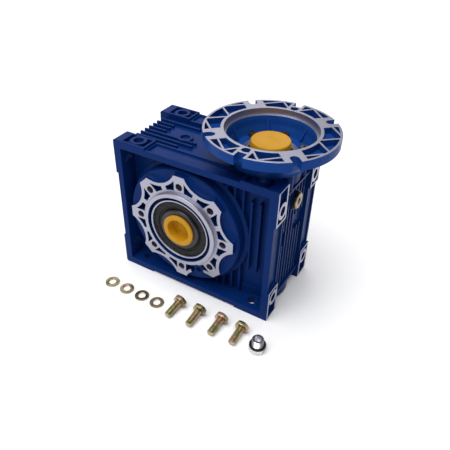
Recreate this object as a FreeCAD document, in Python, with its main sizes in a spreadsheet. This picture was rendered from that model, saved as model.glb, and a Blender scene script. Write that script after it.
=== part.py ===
"""Worm gear reducer with a hollow output shaft, a star-faced cover on each side and a C-face input flange.

Row frame, millimetres: the origin is on the output shaft's axis, half way along it. +Z is up, along
the worm's axis towards the motor flange. +X points from the output shaft to the worm. -Y is the side
with the cast-on cover, and +Y the side with the bolted cover.
"""
import FreeCAD, Part
import math
import os

import Sketcher
from FreeCAD import Placement, Rotation, Vector

doc = FreeCAD.newDocument("worm_gear_reducer")
dims = doc.addObject("Spreadsheet::Sheet", "dims")

SIZES = [
    # Housing: two rectangular end frames joined by a finned middle
    ("centre_distance", 90.0, "output axis to worm axis"),
    ("side_reach", 135.0, "output axis to the worm-side foot face"),
    ("back_reach", 103.0, "output axis to the far foot face"),
    ("half_height", 103.0, "output axis to the top and bottom foot faces"),
    ("frame_face", 65.0, "mid-plane to an end frame's outer face"),
    ("frame_inner", 38.0, "mid-plane to an end frame's inner face"),
    ("frame_wall", 11.0, "thickness of an end frame's walls"),
    ("pad_length", 50.0, "length of a corner foot pad"),
    ("pad_step", 2.7, "height of a foot pad above the edge beside it"),
    ("pad_border", 3.0, "land round a foot pad's pocket"),
    ("pad_end_border", 14.0, "land at the outer end of a top or bottom pad"),
    ("pad_pocket", 4.5, "depth of a foot pad's pocket"),
    ("pad_ring_dia", 22.5, "ring round a foot hole"),
    ("foot_hole_dia", 13.0, "foot hole, worm side and bottom"),
    ("far_hole_dia", 13.5, "foot hole, far side and top"),
    ("foot_hole_side", 50.0, "mid-plane to a foot hole"),
    ("foot_hole_drop", 33.0, "foot hole to the frame's corner, vertical faces"),
    ("foot_hole_inset", 30.5, "foot hole to the frame's corner, top and bottom faces"),
    ("channel_depth", 2.2, "shallow channel along a frame's edge"),
    ("skin_inset", 9.0, "frame edge to the middle body's skin"),
    ("fin_rise", 3.9, "height of a cooling fin"),
    ("fin_thick", 2.6, "thickness of a cooling fin"),
    ("fin_pitch", 9.2, "cooling fin spacing"),
    ("lip_inset", 24.5, "frame edge to the cross lips that end the fins"),
    ("lip_thick", 3.2, "thickness of a cross lip"),
    ("rib_rise", 7.0, "height of a rib in the front and rear recesses"),
    ("rib_pitch", 12.0, "rib spacing in the recesses"),
    ("rib_start", 32.0, "output axis to the first rib"),
    ("rib_thick", 3.0, "thickness of a rib"),
    ("rib_top_gap", 28.0, "recess's upper wall to the ribs beside the dome"),
    ("rib_bottom_gap", 48.0, "recess's lower wall to the ribs beside the dome"),
    ("top_boss_dia", 21.0, "boss on the top fins"),
    ("top_boss_hole", 13.0, "blind hole in the top boss"),
    ("top_boss_floor", 1.0, "skin to the floor of the top boss's hole"),
    ("top_boss_x", -33.0, "boss on the top fins"),
    ("top_boss_y", -2.0, "boss on the top fins"),
    ("bare_low", 5.0, "fins by the worm stop here on the bolted cover's side"),
    ("bare_high", 28.0, "and start again here"),
    ("gap_low", 0.0, "the first fin by the worm stops here"),
    ("gap_high", 22.0, "and starts again here"),
    ("corner_round", 3.0, "rounding of the case's outer corners"),
    ("wall", 8.0, "wall of the gear case"),
    # Covers
    ("cover_face", 67.0, "mid-plane to the machined star face"),
    ("dome_face", 60.0, "mid-plane to the face of the cover's dome"),
    ("dome_floor", 48.0, "mid-plane to the inside of the cover's dome"),
    ("dome_dia", 171.0, "dome at its rim"),
    ("dome_foot_dia", 183.0, "dome at its foot"),
    ("dome_foot", 45.0, "mid-plane to the joint of the bolted cover"),
    ("star_width", 160.4, "star across opposite lobes"),
    ("lobe_width", 16.0, "flat at a lobe's end"),
    ("star_valley_dia", 136.4, "star at the bottom of its scallops"),
    ("star_land_dia", 117.0, "ring inside the star's pockets"),
    ("star_web", 4.5, "wall between a pocket and a scallop"),
    ("star_foot", 5.0, "fillet at the foot of a scallop"),
    ("blind_boss_angle", 293.0, "where the cast-on cover's star is open round a blind boss"),
    ("blind_boss_circle", 135.0, "circle of the blind boss"),
    ("blind_boss_dia", 17.0, "blind boss"),
    ("blind_boss_rise", 3.0, "blind boss above the dome"),
    ("blind_boss_dimple", 8.0, "dimple in the blind boss"),
    ("blind_boss_gap", 22.0, "opening in the star round the blind boss"),
    ("pilot_dia", 110.0, "cover pilot"),
    ("pilot_face", 72.0, "mid-plane to the pilot's end"),
    ("pilot_wall", 6.0, "wall of the pilot ring"),
    ("pilot_chamfer", 0.8, "chamfer on the pilot's end"),
    ("pilot_hollow", 7.0, "depth of the hollow inside the pilot ring"),
    ("seat_ring_dia", 90.0, "ring round the oil seal"),
    ("seat_ring_face", 70.5, "mid-plane to the seal ring's end"),
    ("seal_lead", 0.6, "chamfer that leads the oil seal in"),
    ("cover_bolt_circle", 130.0, "bolt circle on a star face"),
    ("cover_bolt_dia", 10.0, "threaded hole on a star face"),
    ("cover_bolt_depth", 16.0, "depth of a threaded hole"),
    ("star_boss_wall", 2.5, "wall round a threaded hole on a star face"),
    ("valley_web", 3.7, "middle of a scallop to the pockets beside it"),
    ("gear_opening_dia", 159.0, "opening that the wheel goes in through"),
    ("spigot_wall", 8.0, "wall of the bolted cover's spigot"),
    ("spigot_end", 2.0, "end frame's inner face to the spigot's end"),
    ("cover_plate", 8.0, "thickness of the bolted cover's rim"),
    ("rim_screw_circle", 172.0, "bolted cover's screws"),
    ("cover_play", 0.4, "bolted cover's rim to the frame round it"),
    ("cover_trim", 0.5, "dome's foot to the bolted cover's rim"),
    ("narrow_dome", 1.0, "gear opening to the bolted cover's dome"),
    ("rim_thread_depth", 14.0, "threads of the bolted cover's screws"),
    ("o_ring_thick", 3.0, "section of the cover's O-ring"),
    ("o_ring_drawn", 2.7, "its section as it is drawn, squeezed"),
    ("groove_depth", 2.8, "groove of the cover's O-ring"),
    ("groove_width", 3.2, "groove of the cover's O-ring"),
    ("groove_edge", 2.0, "cover's joint to the groove"),
    # Output shaft and its bearings
    ("output_bore_dia", 35.0, "output bore"),
    ("cap_seat_dia", 36.0, "wider end of the output bore, for its cap"),
    ("output_key_width", 10.0, "output keyway"),
    ("output_key_depth", 3.3, "keyway above the bore"),
    ("output_shaft_dia", 60.0, "hollow shaft"),
    ("output_shaft_length", 140.0, "hollow shaft, end to end"),
    ("output_bearing_dia", 95.0, "output bearing"),
    ("output_bearing_width", 18.0, "output bearing"),
    ("output_bearing_start", 40.0, "mid-plane to an output bearing"),
    ("bearing_boss_wall", 7.0, "wall round an output bearing"),
    ("bearing_boss_lead", 3.0, "boss beyond the output bearing"),
    ("output_seal_dia", 85.0, "output oil seal"),
    ("output_seal_width", 8.0, "output oil seal"),
    ("seal_set_back", 2.0, "output bearing to its oil seal"),
    ("hub_dia", 112.0, "joint between wheel centre and bronze rim"),
    ("hub_web", 18.0, "thickness of the wheel centre"),
    ("hub_rim", 6.0, "rim of the wheel centre"),
    ("hub_sleeve", 6.0, "sleeve of the wheel centre"),
    ("shaft_chamfer", 1.5, "chamfer on the hollow shaft's ends"),
    # Worm and wheel
    ("gear_module", 4.8, "axial module"),
    ("wheel_teeth", 30.0, "teeth on the wheel"),
    ("wheel_width", 30.0, "face width of the wheel"),
    ("backlash", 0.6, "play between teeth, along the worm"),
    ("thread_length", 76.0, "length of the worm's thread"),
    ("worm_shaft_dia", 40.0, "worm at its bearings and seal"),
    ("worm_shoulder_dia", 48.0, "worm's bearing shoulders"),
    ("worm_shoulder_length", 8.0, "worm's bearing shoulders"),
    ("worm_relief", 2.0, "worm between thread and shoulder, under its bearing seats"),
    ("worm_bearing_dia", 68.0, "worm bearing"),
    ("worm_bearing_width", 15.0, "worm bearing"),
    ("worm_bearing_inset", 23.0, "frame edge to the far face of a worm bearing"),
    ("worm_chamber_dia", 60.0, "chamber round the worm"),
    ("worm_collar_dia", 82.0, "cast collar round a worm bearing"),
    ("nose_rise", 19.0, "top foot face to the worm's open end"),
    ("input_bore_dia", 15.88, "input bore"),
    ("input_bore_depth", 50.0, "input bore"),
    ("input_key_width", 4.8, "input keyway"),
    ("input_key_depth", 2.3, "keyway beyond the bore"),
    ("input_key_end", 6.0, "bore's floor to the keyway's end"),
    ("circlip_thick", 2.0, "bearing circlip"),
    ("circlip_grip", 1.5, "depth of a circlip's groove"),
    ("circlip_reach", 3.0, "circlip inside its bore"),
    ("circlip_mouth", 12.0, "between a circlip's ends"),
    ("end_cap_thick", 4.0, "blind cap under the worm"),
    # Input flange
    ("flange_dia", 165.1, "input flange"),
    ("flange_rise", 40.4, "top foot face to the flange's face"),
    ("flange_thick", 12.0, "flange plate"),
    ("flange_pilot_dia", 114.3, "flange pilot recess"),
    ("flange_pilot_depth", 8.5, "flange pilot recess"),
    ("flange_bolt_circle", 149.2, "flange bolt circle"),
    ("flange_slot_width", 10.5, "open slot for a motor bolt"),
    ("flange_base_dia", 97.0, "flange where it seats on the housing"),
    ("flange_rim", 3.0, "outer rim of the flange's web pattern"),
    ("flange_inner_rim", 4.0, "inner rim of the flange's web pattern"),
    ("flange_rib", 2.6, "rib of the web pattern"),
    ("flange_pocket", 8.0, "depth of the web pattern's pockets"),
    ("slot_land", 26.5, "solid land round a bolt slot"),
    ("notch_land", 18.4, "solid land round a notch"),
    ("notch_width", 11.0, "notch in the flange's rim"),
    ("notch_floor", 72.0, "flange axis to a notch's floor"),
    ("notch_wall", 3.5, "rib between a notch and the pocket behind it"),
    ("notch_pocket_dia", 10.0, "round end of the pocket behind a notch"),
    ("notch_pocket_run", 4.0, "straight part of the pocket behind a notch"),
    ("bowl_rise", 10.7, "top foot face to the screw seats in the bowl"),
    ("bowl_dia", 94.0, "bowl at its floor"),
    ("gusset_thick", 2.4, "gusset on the bowl's wall"),
    ("gusset_foot", 4.5, "reach of a gusset over the bowl's floor"),
    ("input_seal_dia", 62.0, "input oil seal"),
    ("input_seal_width", 7.0, "input oil seal"),
    ("input_seal_sink", 3.5, "bowl's floor to the oil seal"),
    ("input_seal_rim", 3.0, "bowl's floor to the flange's edge round the seal"),
    ("input_screw_circle", 82.0, "flange screws"),
    ("input_boss_wall", 3.6, "wall round a flange screw's thread"),
    ("input_boss_length", 22.0, "boss of a flange screw"),
    ("input_thread_depth", 13.0, "thread of a flange screw"),
    # Screws, plugs and caps
    ("socket_head_dia", 10.0, "socket head screw"),
    ("socket_head_height", 6.0, "socket head screw"),
    ("socket_shank_dia", 6.0, "socket head screw"),
    ("socket_shank_length", 18.0, "socket head screw"),
    ("socket_width", 5.0, "hexagon socket"),
    ("level_plug_height", 56.0, "output axis to the oil level plug"),
    ("level_plug_dia", 22.0, "oil level plug's head"),
    ("level_plug_head", 3.0, "thickness of the plug's head"),
    ("level_plug_thread", 15.7, "plug thread"),
    ("level_boss_dia", 27.0, "boss under the plug"),
    ("level_socket_width", 8.0, "hexagon socket of the plug"),
    ("level_plug_length", 10.0, "plug's thread under its head"),
    ("gasket_dia", 25.0, "plug gasket"),
    ("gasket_thick", 2.4, "plug gasket"),
    ("output_cap_dia", 46.0, "output bore cap's flange"),
    ("output_cap_flange", 3.0, "output bore cap's flange"),
    ("output_cap_depth", 13.0, "output bore cap, inside the bore"),
    ("input_cap_dia", 50.0, "input cap"),
    ("input_cap_height", 17.5, "input cap"),
    ("input_cap_roof", 6.0, "thickness of the input cap's top"),
    ("cap_wall", 2.5, "wall of a cap"),
    # Loose kit on the ground beside the housing
    ("washer_dia", 20.0, "washer"),
    ("washer_bore_dia", 10.5, "washer"),
    ("washer_thick", 2.0, "washer"),
    ("washer_row", 114.8, "mid-plane to the row of washers"),
    ("bolt_dia", 10.0, "hexagon bolt"),
    ("bolt_length", 25.0, "hexagon bolt, under the head"),
    ("bolt_head_width", 17.0, "hexagon bolt, across flats"),
    ("bolt_head_height", 6.4, "hexagon bolt"),
    ("breather_width", 19.0, "breather plug's hexagon"),
    ("breather_head", 7.0, "breather plug's hexagon"),
    ("breather_length", 20.0, "breather plug, end to end"),
    ("breather_bore", 9.0, "blind hole in the breather plug"),
    ("breather_bore_depth", 8.0, "blind hole in the breather plug"),
    ("breather_ring", 3.0, "section of the breather's O-ring"),
    # Fits
    ("seat_gap", 0.03, "play of a part in its seat"),
    ("running_gap", 0.05, "play of a part that turns or slides"),
    ("ring_gap", 0.4, "play between a bearing's rings"),
    ("loose_gap", 0.3, "play of a screw or a gasket, all round"),
]

for line, (alias, value, note) in enumerate(SIZES, start=1):
    dims.set(f"A{line}", note)
    dims.set(f"B{line}", str(value))
    dims.setAlias(f"B{line}", alias)
doc.recompute()

FRONT = Rotation(Vector(1, 0, 0), 90)
REAR = Rotation(Vector(1, 0, 0), -90)
UPRIGHT = Rotation()
SIDEWAYS = Rotation(Vector(0, 1, 0), 90)
AXIS_TURN = {"x": SIDEWAYS, "y": REAR, "z": UPRIGHT}

subparts = []


def value_of(expression):
    """The number that an expression of the sheet's aliases has now."""
    result = dims.evalExpression(expression)
    return float(getattr(result, "Value", result))


def place(thing, at=("0", "0", "0"), turn=UPRIGHT):
    """Turn an object and bind its position to expressions."""
    thing.Placement = Placement(Vector(), turn)
    for axis, expression in zip("xyz", at):
        thing.setExpression(f"Placement.Base.{axis}", expression)
    return thing


def block(name, x, y, z):
    """A box between two expressions along each axis."""
    box = doc.addObject("Part::Box", name)
    for side, (low, high) in zip(("Length", "Width", "Height"), (x, y, z)):
        box.setExpression(side, f"({high}) - ({low})")
    return place(box, (x[0], y[0], z[0]))


def rod(name, axis, radius, start, end, across=("0", "0")):
    """A cylinder along a row axis; across holds its place on the other two axes, in order."""
    cylinder = doc.addObject("Part::Cylinder", name)
    cylinder.setExpression("Radius", radius)
    cylinder.setExpression("Height", f"({end}) - ({start})")
    at = list(across)
    at.insert("xyz".index(axis), start)
    return place(cylinder, at, AXIS_TURN[axis])


def joined(name, parts):
    """One object made of several that overlap or touch."""
    if len(parts) == 1:
        return parts[0]
    fusion = doc.addObject("Part::MultiFuse", name)
    fusion.Shapes = parts
    return fusion


def group(name, parts):
    """Separate solids under one name."""
    compound = doc.addObject("Part::Compound", name)
    compound.Links = parts
    return compound


def cut(name, base, tools):
    """The base with every tool taken out of it."""
    result = doc.addObject("Part::Cut", name)
    result.Base = base
    result.Tool = joined(name + "_tools", tools)
    return result


def rounded(name, base, radius, chosen):
    """The base with its chosen edges rounded; chosen is a test of an edge."""
    base.recompute(True)
    fillet = doc.addObject("Part::Fillet", name)
    fillet.Base = base
    size = value_of(radius)
    fillet.Edges = [(number, size, size) for number, edge in enumerate(base.Shape.Edges, start=1)
                    if chosen(edge)]
    return fillet


def coded(name, shape, at=Vector(), turn=UPRIGHT):
    """An object whose shape is worked out here from the sheet's values."""
    feature = doc.addObject("Part::Feature", name)
    feature.Shape = shape
    feature.Placement = Placement(at, turn)
    return feature


def subpart(label, thing, refine=True):
    """Name a finished piece; its label is its file's name."""
    thing.Label = label
    if hasattr(thing, "Refine"):
        thing.Refine = refine
    subparts.append(thing)
    return thing


def bound_sketch(body, name, outline, plane="XZ_Plane", offset="0"):
    """A closed outline in a body, each corner bound to expressions (across, up)."""
    sketch = body.newObject("Sketcher::SketchObject", name)
    planes = {feature.Role: feature for feature in body.Origin.OriginFeatures}
    sketch.AttachmentSupport = [(planes[plane], "")]
    sketch.MapMode = "FlatFace"
    sketch.setExpression("AttachmentOffset.Base.z", offset)
    corners = [Vector(value_of(across), value_of(up), 0) for across, up in outline]
    count = len(corners)
    edges = [Part.LineSegment(corners[i], corners[(i + 1) % count]) for i in range(count)]
    sketch.addGeometry(edges, False)
    for i in range(count):
        sketch.addConstraint(Sketcher.Constraint("Coincident", i, 2, (i + 1) % count, 1))
    for i, (across, up) in enumerate(outline):
        for kind, expression, value in (("DistanceX", across, corners[i].x), ("DistanceY", up, corners[i].y)):
            index = sketch.addConstraint(Sketcher.Constraint(kind, -1, 1, i, 1, value))
            sketch.setExpression(f"Constraints[{index}]", expression)
    return sketch


def turned(name, outline, at=("0", "0", "0"), turn=UPRIGHT):
    """A body of revolution; the outline's corners are (radius, height along the axis)."""
    body = doc.addObject("PartDesign::Body", name)
    sketch = bound_sketch(body, name + "_outline", outline)
    revolution = body.newObject("PartDesign::Revolution", name + "_turning")
    revolution.Profile = sketch
    revolution.ReferenceAxis = (sketch, ["V_Axis"])
    revolution.Angle = 360
    return place(body, at, turn)


def ring(name, inner, outer, start, end, at=("0", "0", "0"), turn=UPRIGHT):
    """A plain turned ring."""
    return turned(name, [(inner, start), (outer, start), (outer, end), (inner, end)], at, turn)


def on_circle(radius, degrees):
    """Expressions for a point on a circle about the origin."""
    return f"({radius}) * cos({degrees} deg)", f"({radius}) * sin({degrees} deg)"


WORM_AXIS = ("dims.centre_distance", "0", "0")
LOBES = 8
FIN_LANES = range(-3, 4)
# Where each top fin stops short of the flange, from the front lane to the rear one
TOP_FIN_ENDS = {-3: "-28", -2: "-11", -1: "-11", 0: "-65", 1: "-65", 2: "-65", 3: "-28"}
BOTTOM_FIN_END = "28"
# Fins on the worm's side that are broken: where each stops, and where it starts again
BROKEN_FINS = {-3: ("dims.gap_low", "dims.gap_high"), 1: ("dims.bare_low", "dims.bare_high"),
               2: ("dims.bare_low", "dims.bare_high"), 3: ("dims.bare_low", "dims.bare_high")}
RIBS = 7
FREE_RIBS = (5, 6)
# The loose kit on the ground: each washer's x, each bolt's tip and head, and the breather's place
WASHERS_AT = (-89.4, -63.0, -36.1, -10.2)
BOLTS_AT = (((18.1, -129.5), (20.6, -98.4)), ((51.0, -128.8), (51.7, -96.9)),
            ((83.7, -126.3), (84.8, -96.1)), ((115.0, -125.5), (115.3, -94.5)))
BREATHER_AT = (146.3, -113.2)
LOBE_STEP = 360 / LOBES
# Gear teeth: pressure angle in degrees, and heights above and below the pitch line in modules
PRESSURE_ANGLE = 20
ADDENDUM = 0.9
DEDENDUM = 1.2
# Ribs in a quarter of the input flange's web: each end is a share of the way out and an angle
WEB_RIBS = (((0.11, 4.5), (1.06, 13.3)), ((1.11, 17.0), (0.63, 34.3)),
            ((0.13, 82.8), (0.88, 75.8)), ((0.94, 73.0), (0.49, 54.3)))
SCREWS_IN_FLANGE = 6
FOOT_HOLE_HEIGHT = "(dims.half_height - dims.foot_hole_drop)"
LIP_HEIGHT = "(dims.half_height - dims.lip_inset)"
WORM_BEARING_START = "(dims.half_height - dims.worm_bearing_inset)"
WORM_BEARING_END = f"({WORM_BEARING_START} + dims.worm_bearing_width)"
WORM_NOSE = "(dims.half_height + dims.nose_rise)"
BOWL_FLOOR = "(dims.half_height + dims.bowl_rise)"
FLANGE_FACE = "(dims.half_height + dims.flange_rise)"
OUTPUT_BEARING_END = "dims.output_bearing_start + dims.output_bearing_width"
BEARING_BOSS = "dims.output_bearing_dia / 2 + dims.bearing_boss_wall"
BEARING_BOSS_START = "dims.output_bearing_start - dims.bearing_boss_lead"
LEVEL_SEAT = "dims.side_reach - dims.level_plug_head - dims.gasket_thick + 0.4"

# The scallops between the star's lobes are round: each passes through two lobe corners and the valley
STAR_A = "(dims.star_width / 2)"
STAR_B = "(dims.lobe_width / 2)"
STAR_V = "(dims.star_valley_dia / 2)"
SCOOP_AT = (f"(({STAR_A}^2 + {STAR_B}^2 - {STAR_V}^2)"
            f" / (2 * ({STAR_A} * cos(22.5 deg) + {STAR_B} * sin(22.5 deg) - {STAR_V})))")
SCOOP_RADIUS = f"({SCOOP_AT} - {STAR_V})"


def standing_rod(name, radius, start, end, at, turn):
    """A cylinder out from the mid-plane, on the side that turn faces, at (across, up) as seen there."""
    cylinder = doc.addObject("Part::Cylinder", name)
    cylinder.setExpression("Radius", radius)
    cylinder.setExpression("Height", f"({end}) - ({start})")
    across, up = at
    if turn is FRONT:
        return place(cylinder, (across, f"-({start})", up), turn)
    return place(cylinder, (across, start, f"-({up})"), turn)


def star_pockets():
    """The pockets between a star's bolt bosses, scallop walls and inner ring, on local XY."""
    boss = value_of("dims.cover_bolt_dia / 2 + dims.star_boss_wall")
    land = value_of("dims.star_land_dia / 2")
    scoop_at = value_of(SCOOP_AT)
    wall_radius = value_of(f"{SCOOP_RADIUS} + dims.star_web")
    depth = value_of("dims.cover_face - dims.dome_face + 1")
    half_step = math.radians(LOBE_STEP / 2)
    reach = value_of("dims.star_width / 2")
    web = value_of("dims.valley_web")
    along = Vector(math.cos(half_step), math.sin(half_step), 0)
    side = Vector(math.sin(half_step), -math.cos(half_step), 0)
    inner = (along * land + side * web)
    outer = (along * reach + side * web)
    corners = [Vector(land * 0.8, boss, 0), Vector(reach, boss, 0), outer, inner]
    wedge = Part.Face(Part.makePolygon(corners + corners[:1])).extrude(Vector(0, 0, depth))
    keep = Part.makeCylinder(land, depth)
    scoop = Part.makeCylinder(wall_radius, depth, along * scoop_at)
    pocket = wedge.cut(keep).cut(scoop)
    mirrored = pocket.mirror(Vector(), Vector(0, 1, 0))
    pockets = []
    for lobe in range(LOBES):
        for one in (pocket, mirrored):
            copy = one.copy()
            copy.rotate(Vector(), Vector(0, 0, 1), lobe * LOBE_STEP)
            pockets.append(copy)
    return Part.makeCompound(pockets)


def cover_outline(foot):
    """Half section of a cover from its foot's corners outwards to the bearing's bore."""
    return foot + [
        ("dims.dome_dia / 2 + 1", "dims.dome_foot + 1.5"),
        ("dims.dome_dia / 2", "dims.dome_face - 2"),
        ("dims.dome_dia / 2 - 1.5", "dims.dome_face"),
        ("dims.pilot_dia / 2", "dims.dome_face"),
        ("dims.pilot_dia / 2", "dims.pilot_face - dims.pilot_chamfer"),
        ("dims.pilot_dia / 2 - dims.pilot_chamfer", "dims.pilot_face"),
        ("dims.pilot_dia / 2 - dims.pilot_wall", "dims.pilot_face"),
        ("dims.pilot_dia / 2 - dims.pilot_wall", "dims.pilot_face - dims.pilot_hollow"),
        ("dims.seat_ring_dia / 2", "dims.pilot_face - dims.pilot_hollow"),
        ("dims.seat_ring_dia / 2", "dims.seat_ring_face"),
        ("dims.output_seal_dia / 2 + dims.seal_lead", "dims.seat_ring_face"),
        ("dims.output_seal_dia / 2", "dims.seat_ring_face - dims.seal_lead"),
        ("dims.output_seal_dia / 2", OUTPUT_BEARING_END),
        ("dims.output_bearing_dia / 2", OUTPUT_BEARING_END),
    ]


def star_on(name, base, turn):
    """Add the star face to a cover, with its pockets, scallops and threaded holes."""
    side = "-" if turn is FRONT else ""
    blank = doc.addObject("Part::Prism", name + "_star")
    blank.Polygon = LOBES
    blank.setExpression("Circumradius", f"{STAR_A} / cos({LOBE_STEP / 2} deg)")
    blank.setExpression("Height", "dims.cover_face - dims.dome_face")
    tilt = Rotation(Vector(0, 0, 1), LOBE_STEP / 2)
    place(blank, ("0", f"{side}dims.dome_face", "0"), turn.multiply(tilt))
    foot = value_of("dims.dome_face")
    scoops = []
    holes = []
    for lobe in range(LOBES):
        middle = (lobe + 0.5) * LOBE_STEP
        scoop = standing_rod(f"{name}_scoop_{lobe}", SCOOP_RADIUS, "dims.dome_face",
                             "dims.cover_face + 1", on_circle(SCOOP_AT, middle), turn)
        scoops.append(rounded(f"{name}_scoop_footed_{lobe}", scoop, "dims.star_foot",
                              lambda edge: edge.Closed and abs(abs(edge.CenterOfMass.y) - foot) < 0.01))
        holes.append(standing_rod(f"{name}_hole_{lobe}", "dims.cover_bolt_dia / 2",
                                  "dims.cover_face - dims.cover_bolt_depth", "dims.cover_face + 1",
                                  on_circle("dims.cover_bolt_circle / 2", lobe * LOBE_STEP), turn))
    pockets = coded(name + "_pockets", star_pockets())
    place(pockets, ("0", f"{side}dims.dome_face", "0"), turn)
    bore = standing_rod(name + "_star_bore", "dims.pilot_dia / 2 - 0.5", "dims.dome_face - 1",
                        "dims.cover_face + 1", ("0", "0"), turn)
    parts = [base, cut(name + "_star_ring", blank, scoops + [pockets, bore])]
    if name == "front":
        at = on_circle("dims.blind_boss_circle / 2", value_of("dims.blind_boss_angle"))
        under, top = "dims.dome_face - 1", "dims.dome_face + dims.blind_boss_rise"
        room = standing_rod("blind_boss_room", "dims.blind_boss_gap / 2", under, "dims.cover_face + 1",
                            at, turn)
        parts[1] = cut("open_star", parts[1], [room])
        boss = standing_rod("blind_boss_body", "dims.blind_boss_dia / 2", under, top, at, turn)
        dimple = standing_rod("blind_boss_eye", "dims.blind_boss_dimple / 2", "dims.dome_face", top + " + 1",
                              at, turn)
        parts.append(cut("blind_boss", boss, [dimple]))
    return joined(name + "_faced", parts), holes


def housing():
    """The cast case, with one cover cast on and the other side open."""
    low_x, high_x = "-dims.back_reach", "dims.side_reach"
    low_z, high_z = "-dims.half_height", "dims.half_height"
    face, inner = "dims.frame_face", "dims.frame_inner"
    blank = block("case_blank", (low_x, high_x), ("-" + face, face), (low_z, high_z))
    solid = rounded("case_rounded", blank, "dims.corner_round",
                    lambda edge: abs(edge.tangentAt(edge.FirstParameter).y) > 0.99)
    cuts = []
    room_x = (f"{low_x} + dims.frame_wall", f"{high_x} - dims.frame_wall")
    room_z = (f"{low_z} + dims.frame_wall", f"{high_z} - dims.frame_wall")
    cuts.append(block("front_room", room_x, (f"-{face} - 1", "-" + inner), room_z))
    cuts.append(block("rear_room", room_x, (inner, f"{face} + 1"), room_z))
    waist = ("-" + inner, inner)
    skin_low_x, skin_high_x = f"{low_x} + dims.skin_inset", f"{high_x} - dims.skin_inset"
    skin_low_z, skin_high_z = f"{low_z} + dims.skin_inset", f"{high_z} - dims.skin_inset"
    past_x, past_z = (f"{low_x} - 1", f"{high_x} + 1"), (f"{low_z} - 1", f"{high_z} + 1")
    past_y = (f"-{face} - 1", f"{face} + 1")
    cuts.append(block("waist_right", (skin_high_x, past_x[1]), waist, past_z))
    cuts.append(block("waist_left", (past_x[0], skin_low_x), waist, past_z))
    cuts.append(block("waist_top", past_x, waist, (skin_high_z, past_z[1])))
    cuts.append(block("waist_bottom", past_x, waist, (past_z[0], skin_low_z)))
    between_z = (f"{low_z} + dims.pad_length", f"{high_z} - dims.pad_length")
    between_x = (f"{low_x} + dims.pad_length", f"{high_x} - dims.pad_length")
    cuts.append(block("step_right", (f"{high_x} - dims.pad_step", past_x[1]), past_y, between_z))
    cuts.append(block("step_left", (past_x[0], f"{low_x} + dims.pad_step"), past_y, between_z))
    cuts.append(block("step_top", between_x, past_y, (f"{high_z} - dims.pad_step", past_z[1])))
    cuts.append(block("step_bottom", between_x, past_y, (past_z[0], f"{low_z} + dims.pad_step")))

    deep = "dims.pad_step + dims.channel_depth"
    rings, holes = [], []
    for side, sign in (("front", "-"), ("rear", "")):
        edge = "dims.pad_border"
        near, far = (f"{inner} + {edge}", f"{face} - {edge}")
        lane = (f"-({far})", f"-({near})") if sign else (near, far)
        along_z = (f"{between_z[0]} + {edge}", f"{between_z[1]} - {edge}")
        along_x = (f"{between_x[0]} + {edge}", f"{between_x[1]} - {edge}")
        cuts.append(block(f"channel_right_{side}", (f"{high_x} - ({deep})", past_x[1]), lane, along_z))
        cuts.append(block(f"channel_left_{side}", (past_x[0], f"{low_x} + ({deep})"), lane, along_z))
        cuts.append(block(f"channel_top_{side}", along_x, lane, (f"{high_z} - ({deep})", past_z[1])))
        cuts.append(block(f"channel_bottom_{side}", along_x, lane, (past_z[0], f"{low_z} + ({deep})")))
        hole_y = f"{sign}dims.foot_hole_side"
        ends_z = ((f"{low_z} + {edge}", f"{between_z[0]} - {edge}"),
                  (f"{between_z[1]} + {edge}", f"{high_z} - {edge}"))
        ends_x = ((f"{low_x} + dims.pad_end_border", f"{between_x[0]} - {edge}"),
                  (f"{between_x[1]} + {edge}", f"{high_x} - dims.pad_end_border"))
        floor = "dims.pad_pocket"
        for end, span in enumerate(ends_z):
            cuts.append(block(f"pocket_right_{side}_{end}", (f"{high_x} - {floor}", past_x[1]), lane, span))
            cuts.append(block(f"pocket_left_{side}_{end}", (past_x[0], f"{low_x} + {floor}"), lane, span))
            hole_z = ("-" if end == 0 else "") + FOOT_HOLE_HEIGHT
            for wall, start, size in (("right", room_x[1], "foot"), ("left", low_x, "far")):
                stop = f"{start} + dims.frame_wall"
                rings.append(rod(f"ring_{wall}_{side}_{end}", "x", "dims.pad_ring_dia / 2", start, stop,
                                 (hole_y, hole_z)))
                holes.append(rod(f"foot_hole_{wall}_{side}_{end}", "x", f"dims.{size}_hole_dia / 2",
                                 f"{start} - 1", f"{stop} + 1", (hole_y, hole_z)))
        for end, span in enumerate(ends_x):
            cuts.append(block(f"pocket_top_{side}_{end}", span, lane, (f"{high_z} - {floor}", past_z[1])))
            cuts.append(block(f"pocket_bottom_{side}_{end}", span, lane, (past_z[0], f"{low_z} + {floor}")))
            hole_x = f"{high_x} - dims.foot_hole_inset" if end else f"{low_x} + dims.foot_hole_inset"
            for wall, start, size in (("top", room_z[1], "far"), ("bottom", low_z, "foot")):
                stop = f"{start} + dims.frame_wall"
                rings.append(rod(f"ring_{wall}_{side}_{end}", "z", "dims.pad_ring_dia / 2", start, stop,
                                 (hole_x, hole_y)))
                holes.append(rod(f"foot_hole_{wall}_{side}_{end}", "z", f"dims.{size}_hole_dia / 2",
                                 f"{start} - 1", f"{stop} + 1", (hole_x, hole_y)))
    cuts.append(standing_rod("cover_room", "dims.dome_foot_dia / 2 + dims.cover_play", "dims.dome_foot",
                             face + " + 1", ("0", "0"), REAR))
    frames = cut("frames", solid, cuts)
    feet = cut("feet", joined("frames_with_rings", [frames] + rings), holes)

    adds = []
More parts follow.
